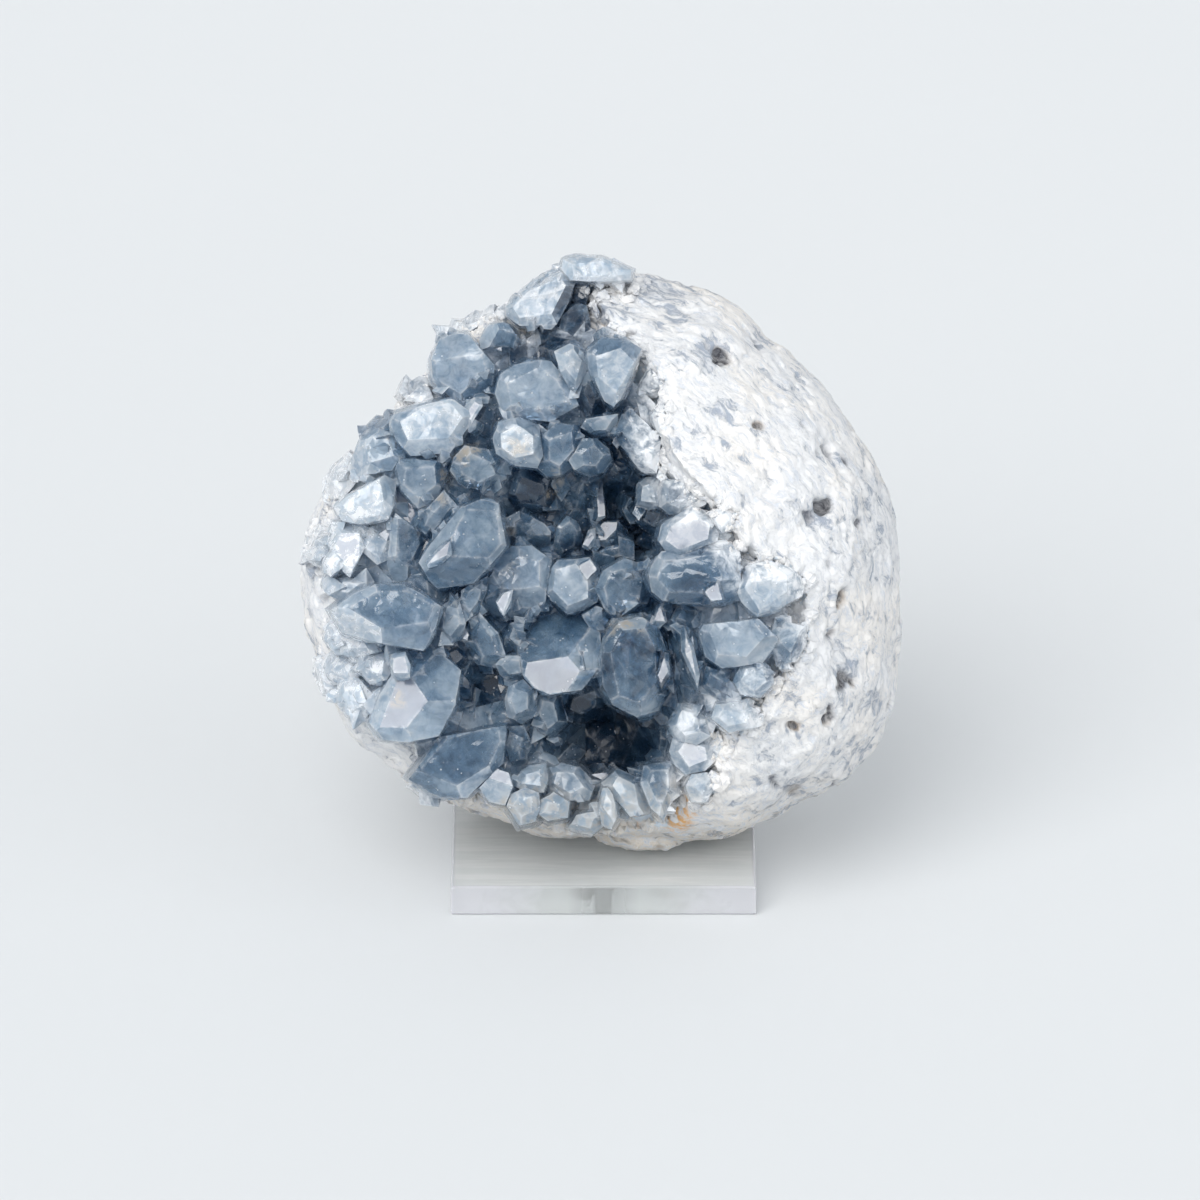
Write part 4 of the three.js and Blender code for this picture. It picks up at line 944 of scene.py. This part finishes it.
class MakeCrystals(bpy.types.Operator):
    """Cuts, wears and frosts the crystals that line the hollow"""

    bl_idname = "geode.make_crystals"
    bl_label = "Crystals"

    def execute(self, context):
        sizes = context.scene.geode_sizes
        obj = copy_of("crystal_crust", "blue_crystals")
        grow_together(obj, small_crystals(obj, sizes.small_crystals, random.Random(11)))
        take_up(obj)
        edit_all()
        bpy.ops.mesh.dissolve_limited(angle_limit=math.radians(2.0))
        bpy.ops.object.mode_set(mode="OBJECT")
        mesh = obj.data
        number, count = grown_crystals(mesh)
        draws = random.Random(7)
        tones = [draws.uniform(-1, 1) for _ in range(count)]
        facets = [draws.uniform(-0.7, 0.7) for _ in mesh.polygons]
        places = [WORLD_TO_FACE @ p.center / MM for p in mesh.polygons]
        paint(mesh, "frost", [patch_strength(c, FROSTED) for c in places])
        # Painted shade where the hollow is deep
        paint(mesh, "deep", [patch_strength(c, PAINTED_SHADE) for c in places])
        paint(mesh, "tone", [0.6 * tones[n] + f for n, f in zip(number, facets)])
        mirror = FACE_TO_WORLD.to_3x3() @ Vector(MIRROR_FACE).normalized()
        # Faces that mirror the key light, which the material gives a painted reflection tint
        paint(mesh, "flat", [float(p.normal.dot(mirror) > 0.992) for p in mesh.polygons])
        ridges = ridge_points(mesh, WEAR_AND_HIGHLIGHT_REACH / 2)
        even_out(mesh, sizes.crystal_grain)
        places = [WORLD_TO_FACE @ v.co for v in mesh.vertices]
        # How far each point stands proud; the material paints crevices darker and tips lighter from
        # it
        paint(mesh, "rise", Relief(places).rises(places), "POINT")
        astray = [p + 0.0012 * noise.noise_vector(p * 500) for p in places]
        paint(mesh, "druse", [patch_strength(p / MM, DRUSE) for p in astray], "POINT")
        # Nearness to the ridges, which the material paints as a pale highlight line
        paint(mesh, "glow", worn(mesh, places, ridges, mirror), "POINT")
        rind = bpy.data.objects["chalk_rind"].data
        lined = rind.attributes["lined"].data
        outside = [v.co.copy() for v, inner in zip(rind.vertices, lined) if inner.value < 0.5]
        crusted = closeness([v.co for v in mesh.vertices], outside, CHALK_REACH)
        paint(mesh, "crusted", crusted, "POINT")
        tint = tuple(context.scene.geode_colours.crystal_tint)
        dress(obj, crystal_material("blue_crystal", 0.6, tint, 30))
        take_up(obj)
        bpy.ops.object.shade_smooth_by_angle(angle=CREASE)
        settle(obj, "blue_crystal", "crystal_crust")
        return {"FINISHED"}


def chalk_crumbs(draws):
    """A few shapes of broken chalk, each about one across."""
    kinds = []
    for k in range(4):
        clear_selection()
        bpy.ops.mesh.primitive_ico_sphere_add(subdivisions=2, radius=0.5, location=(0, 0, 0))
        kind = bpy.context.object
        kind.name = f"crumb_{k}"
        edit_all()
        bpy.ops.transform.vertex_random(offset=0.13, uniform=1.0, seed=k + 1)
        bpy.ops.object.mode_set(mode="OBJECT")
        fewer = kind.modifiers.new("fewer", "DECIMATE")
        fewer.ratio = 0.5
        apply_all(kind)
        kinds.append(kind)
    return kinds


def lying(point, normal, size, draws):
    """Places a shape of size one on a surface, turned at random and pressed flat."""
    turn = normal.to_track_quat("Z", "Y").to_matrix().to_4x4()
    spin = Matrix.Rotation(draws.uniform(0, math.tau), 4, "Z")
    wide, flat = size * draws.uniform(0.5, 1), size * draws.uniform(0.35, 0.8)
    shape = Matrix.Diagonal((size, wide, flat, 1))
    return Matrix.Translation(point - normal * size * 0.1) @ turn @ spin @ shape


def strewn(kinds, places, draws):
    """Copies of small shapes at the given places, joined in one object. The shapes are used up."""
    copies = []
    for matrix in places:
        mesh = draws.choice(kinds).data.copy()
        mesh.transform(matrix)
        copies.append(add_object("strewn", mesh))
    for kind in kinds:
        bpy.data.objects.remove(kind)
    return joined(copies)


def rind_relief(place, face, rim):
    """How high the rind stands at a place, in metres, and how deep a pit it lies in, up to 1.

    Face is the same place on the open face, in mm, and rim is 1 beside the crystals.
    """
    low = noise.fractal(place * 55, 1.0, 2.0, 3)
    crag = noise.fractal(place * 380, 0.6, 2.1, 4)
    ledge = noise.fractal(place * 110 + Vector((9, 4, 2)), 0.8, 2.0, 3) * 5
    ledge = min(1.0, max(0.0, ledge))
    hole = max(0.0, noise.noise(place * 170 + Vector((3, 1, 7))) - 0.50) * 3.2
    thin = 0.0
    if face.z > BACK_OF_FACE:
        astray = face + noise.noise_vector(place * 320) * 1.5
        hole = max(hole, patch_strength(astray, PITS))
        thin = patch_strength(astray, THIN_RIND)
    lift = LUMP_HEIGHT * low + CRAG_HEIGHT * crag + LEDGE_HEIGHT * ledge
    lift = lift - PIT_DEPTH * min(1.0, hole) - THIN_DEPTH * thin
    return lift + RIM_HEIGHT * rim * crag, hole


class MakeRind(bpy.types.Operator):
    """Roughens the rind into lumpy, pitted chalk"""

    bl_idname = "geode.make_rind"
    bl_label = "Rind"

    def execute(self, context):
        sizes = context.scene.geode_sizes
        obj = copy_of("rind", "chalk_rind")
        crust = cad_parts["crystal_crust"].data
        tree = surface_tree(crust)
        bpy.ops.mesh.primitive_ico_sphere_add(subdivisions=3, radius=1.0, location=FOOT_LUMP[0])
        foot = bpy.context.object
        foot.scale = FOOT_LUMP[1]
        joined([obj, foot])
        remesh = obj.modifiers.new("even facets", "REMESH")
        remesh.mode = "VOXEL"
        remesh.voxel_size = sizes.rind_grain
        smooth = obj.modifiers.new("soft", "SMOOTH")
        smooth.factor = 0.5
        smooth.iterations = 8
        apply_all(obj)
        mesh = obj.data
        hidden = obj.vertex_groups.new(name="hidden")
        for v in mesh.vertices:
            near = tree.find_nearest(v.co, RIM_REACH)[3]
            if near is not None and near < COARSE_GAP:
                hidden.add([v.index], 1.0, "REPLACE")
        fewer = obj.modifiers.new("coarse where hidden", "DECIMATE")
        fewer.ratio = min(1.0, RIND_FACETS / len(mesh.polygons))
        fewer.vertex_group = "hidden"
        fewer.vertex_group_factor = 8
        apply_all(obj)
        lined, rims = [], []
        for v in mesh.vertices:
            spot, _, _, near = tree.find_nearest(v.co, RIM_REACH)
            if spot is None:
                near = 1.0
            lined.append(1.0 if near < HIDDEN_GAP else 0.0)
            rims.append(max(0.0, 1 - near / RIM_REACH))
            if HIDDEN_GAP <= near < HIDDEN_GAP + LIP_WIDTH:
                ragged = min(1.0, max(0.0, 0.55 + 1.2 * noise.noise(v.co * 420)))
                v.co += (spot - v.co) * ragged * (1 - (near - HIDDEN_GAP) / LIP_WIDTH)
        pits = []
        outward = [v.normal.copy() for v in mesh.vertices]
        places = [WORLD_TO_FACE @ v.co / MM for v in mesh.vertices]
        for v, inner, rim, out, face in zip(mesh.vertices, lined, rims, outward, places):
            lift, hole = rind_relief(v.co.copy(), face, rim)
            if inner:
                lift = hole = 0.0
            v.co += out * lift
            pits.append(min(1.0, max(0.0, hole * 1.4 - 0.3)))
        obj.vertex_groups.clear()
        paint(mesh, "lined", lined, "POINT")
        # Painted shade where the hollow is deep, which darkens the lining
        paint(mesh, "deep", [patch_strength(place, PAINTED_SHADE) for place in places], "POINT")
        paint(mesh, "rust", [patch_strength(place, RUSTY) for place in places], "POINT")
        paint(mesh, "thin", [patch_strength(place, THIN_RIND) for place in places], "POINT")
        paint(mesh, "pit", pits, "POINT")
        dress(obj, rind_material(tuple(context.scene.geode_colours.rind_white)))
        take_up(obj)
        bpy.ops.object.shade_smooth()
        settle(obj, "white_rind", "rind")
        return {"FINISHED"}


class MakeCrumbs(bpy.types.Operator):
    """Strews crumbs of chalk along the lip of the hollow and over the crystals beside it"""

    bl_idname = "geode.make_crumbs"
    bl_label = "Chalk crumbs"

    def execute(self, context):
        count = context.scene.geode_sizes.crumb_count
        draws = random.Random(5)
        crystals = bpy.data.objects["blue_crystals"].data
        rind = bpy.data.objects["chalk_rind"].data
        crusted = crystals.attributes["crusted"].data
        corners = search_tree([v.co for v in crystals.vertices])
        places = []
        for point, normal in scatter(crystals, count * 12, draws):
            share = crusted[corners.find(point)[1]].value
            if draws.random() < (max(0.0, share - 0.72) / 0.28) ** 1.3:
                size = draws.uniform(0.5, 1.7) * MM
                places.append(lying(point, normal, size, draws))
            if len(places) >= count * LOOSE_CRUMBS:
                break
        tree = surface_tree(crystals)
        for point, normal in scatter(rind, count * 20, draws):
            spot, _, _, near = tree.find_nearest(point, CRUMB_GAP[1])
            if spot is None or near < CRUMB_GAP[0]:
                continue
            size = draws.uniform(0.7, 1.3) * MM + 0.8 * near
            between = point.lerp(spot, draws.uniform(0.35, 0.75))
            places.append(lying(between, normal, size, draws))
            if len(places) >= count:
                break
        obj = strewn(chalk_crumbs(draws), places, draws)
        obj.name = "chalk_crumbs"
        obj.data.name = "chalk_crumbs"
        dress(obj, bpy.data.materials["chalky_rind"])
        settle(obj, "white_rind")
        return {"FINISHED"}


def threaded_rod(name, pitch, low, high):
    """The stud's closed rod with its screw thread, standing on the z axis."""
    columns, rows = 24, int((high - low) / pitch * 8)
    clear_selection()
    bpy.ops.mesh.primitive_grid_add(
        x_subdivisions=columns, y_subdivisions=rows, size=1, location=(0, 0, 0)
    )
    obj = bpy.context.object
    obj.name = name
    obj.data.name = name
    for v in obj.data.vertices:
        around = (v.co.x + 0.5) * math.tau
        height = low + (v.co.y + 0.5) * (high - low)
        turns = (height - low) / pitch - around / math.tau
        crest = 1 - abs(2 * (turns % 1.0) - 1)
        reach = STUD_RADIUS - THREAD_DEPTH * min(1.0, max(0.0, 1.3 - 1.6 * crest))
        v.co = (reach * math.cos(around), reach * math.sin(around), height)
    edit_all()
    bpy.ops.mesh.remove_doubles(threshold=1e-6)
    bpy.ops.mesh.select_all(action="DESELECT")
    bpy.ops.mesh.select_mode(type="EDGE")
    bpy.ops.mesh.select_non_manifold()
    bpy.ops.mesh.edge_face_add()
    bpy.ops.mesh.fill_holes(sides=0)
    bpy.ops.mesh.select_mode(type="VERT")
    bpy.ops.mesh.select_all(action="SELECT")
    bpy.ops.mesh.normals_make_consistent(inside=False)
    bpy.ops.object.mode_set(mode="OBJECT")
    return obj


class MakeBase(bpy.types.Operator):
    """Gives the base plate its clear finish and threads its stud"""

    bl_idname = "geode.make_base"
    bl_label = "Clear base"

    def execute(self, context):
        dress(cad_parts["acrylic_base"], acrylic_material("clear_acrylic"))
        heights = [v.co.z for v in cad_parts["threaded_stud"].data.vertices]
        pitch = context.scene.geode_sizes.stud_pitch
        stud = threaded_rod("clear_stud", pitch, min(heights), max(heights))
        dress(stud, stud_material())
        take_up(stud)
        bpy.ops.object.shade_smooth_by_angle(angle=math.radians(30))
        settle(stud, "clear_stud", "threaded_stud")
        return {"FINISHED"}


def soft_sun(name, strength, spread, toward):
    """A sun with soft-edged shadows: the wider its spread in degrees, the softer they are."""
    sun = bpy.data.lights.new(name, "SUN")
    sun.energy = strength
    sun.angle = math.radians(spread)
    lamp = add_object(name, sun)
    toward = Vector(toward).normalized()
    lamp.rotation_mode = "QUATERNION"
    lamp.rotation_quaternion = (-toward).to_track_quat("-Z", "Y")
    lamp.location = VIEW_TARGET + toward * 2
    return sun


class MakeStage(bpy.types.Operator):
    """Lays the pale floor and sets the soft light and the camera"""

    bl_idname = "geode.make_stage"
    bl_label = "Floor, light and camera"

    def execute(self, context):
        clear_selection()
        bpy.ops.mesh.primitive_plane_add(size=14, location=(0, 3, -0.0001))
        floor = context.object
        floor.name = "pale_floor"
        bpy.ops.object.transform_apply(location=True, rotation=True, scale=True)
        dress(floor, floor_material())
        camera = bpy.data.cameras.new("camera")
        holder = add_object("camera", camera)
        look = Vector((0, -math.cos(VIEW_ELEVATION), math.sin(VIEW_ELEVATION)))
        holder.location = VIEW_TARGET + look * VIEW_DISTANCE
        holder.rotation_mode = "QUATERNION"
        holder.rotation_quaternion = (-look).to_track_quat("-Z", "Y")
        camera.sensor_width = SENSOR_WIDTH
        camera.lens = SENSOR_WIDTH * VIEW_DISTANCE / VIEW_WIDTH
        camera.clip_end = 30
        scene = context.scene
        scene.camera = holder
        key = soft_sun("soft_key", 2.4, 46, (-0.318, -0.667, 0.672))
        key.color = (1.0, 0.99, 0.975)
        soft_sun("soft_fill", 0.85, 70, (0.78, -0.56, 0.28))
        world = bpy.data.worlds.new("soft_room")
        world.use_nodes = True
        sky = world.node_tree.nodes["Background"].inputs
        sky["Color"].default_value = (0.93, 0.965, 1.0, 1)
        sky["Strength"].default_value = 0.65
        scene.world = world
        scene.view_settings.view_transform = "Standard"
        paths = scene.cycles
        paths.max_bounces = paths.transmission_bounces = 8
        paths.diffuse_bounces = paths.glossy_bounces = 3
        paths.use_light_tree = False
        paths.adaptive_threshold = 0.03
        paths.adaptive_min_samples = 12
        return {"FINISHED"}


class GeodePanel(bpy.types.Panel):
    """Lists the steps that build the geode"""

    bl_idname = "VIEW3D_PT_geode"
    bl_label = "Celestite geode"
    bl_space_type = "VIEW_3D"
    bl_region_type = "UI"
    bl_category = "Geode"

    def draw(self, context):
        for group in (context.scene.geode_sizes, context.scene.geode_colours):
            for name in group.bl_rna.properties.keys():
                if name not in ("rna_type", "name"):
                    self.layout.prop(group, name)
        for step in STEPS:
            self.layout.operator(step.bl_idname)


STEPS = (MakeStage, MakeRind, MakeCrystals, MakeCrumbs, MakeBase)
CLASSES = (GeodeSizes, GeodeColours, *STEPS, GeodePanel)


def register():
    noise.seed_set(NOISE_SEED)
    for each in CLASSES:
        bpy.utils.register_class(each)
    bpy.types.Scene.geode_sizes = bpy.props.PointerProperty(type=GeodeSizes)
    bpy.types.Scene.geode_colours = bpy.props.PointerProperty(type=GeodeColours)


def unregister():
    del bpy.types.Scene.geode_colours
    del bpy.types.Scene.geode_sizes
    for each in reversed(CLASSES):
        bpy.utils.unregister_class(each)


def main():
    register()
    bpy.ops.geode.make_stage()
    bpy.ops.geode.make_rind()
    bpy.ops.geode.make_crystals()
    bpy.ops.geode.make_crumbs()
    bpy.ops.geode.make_base()


if __name__ == "__main__":
    main()
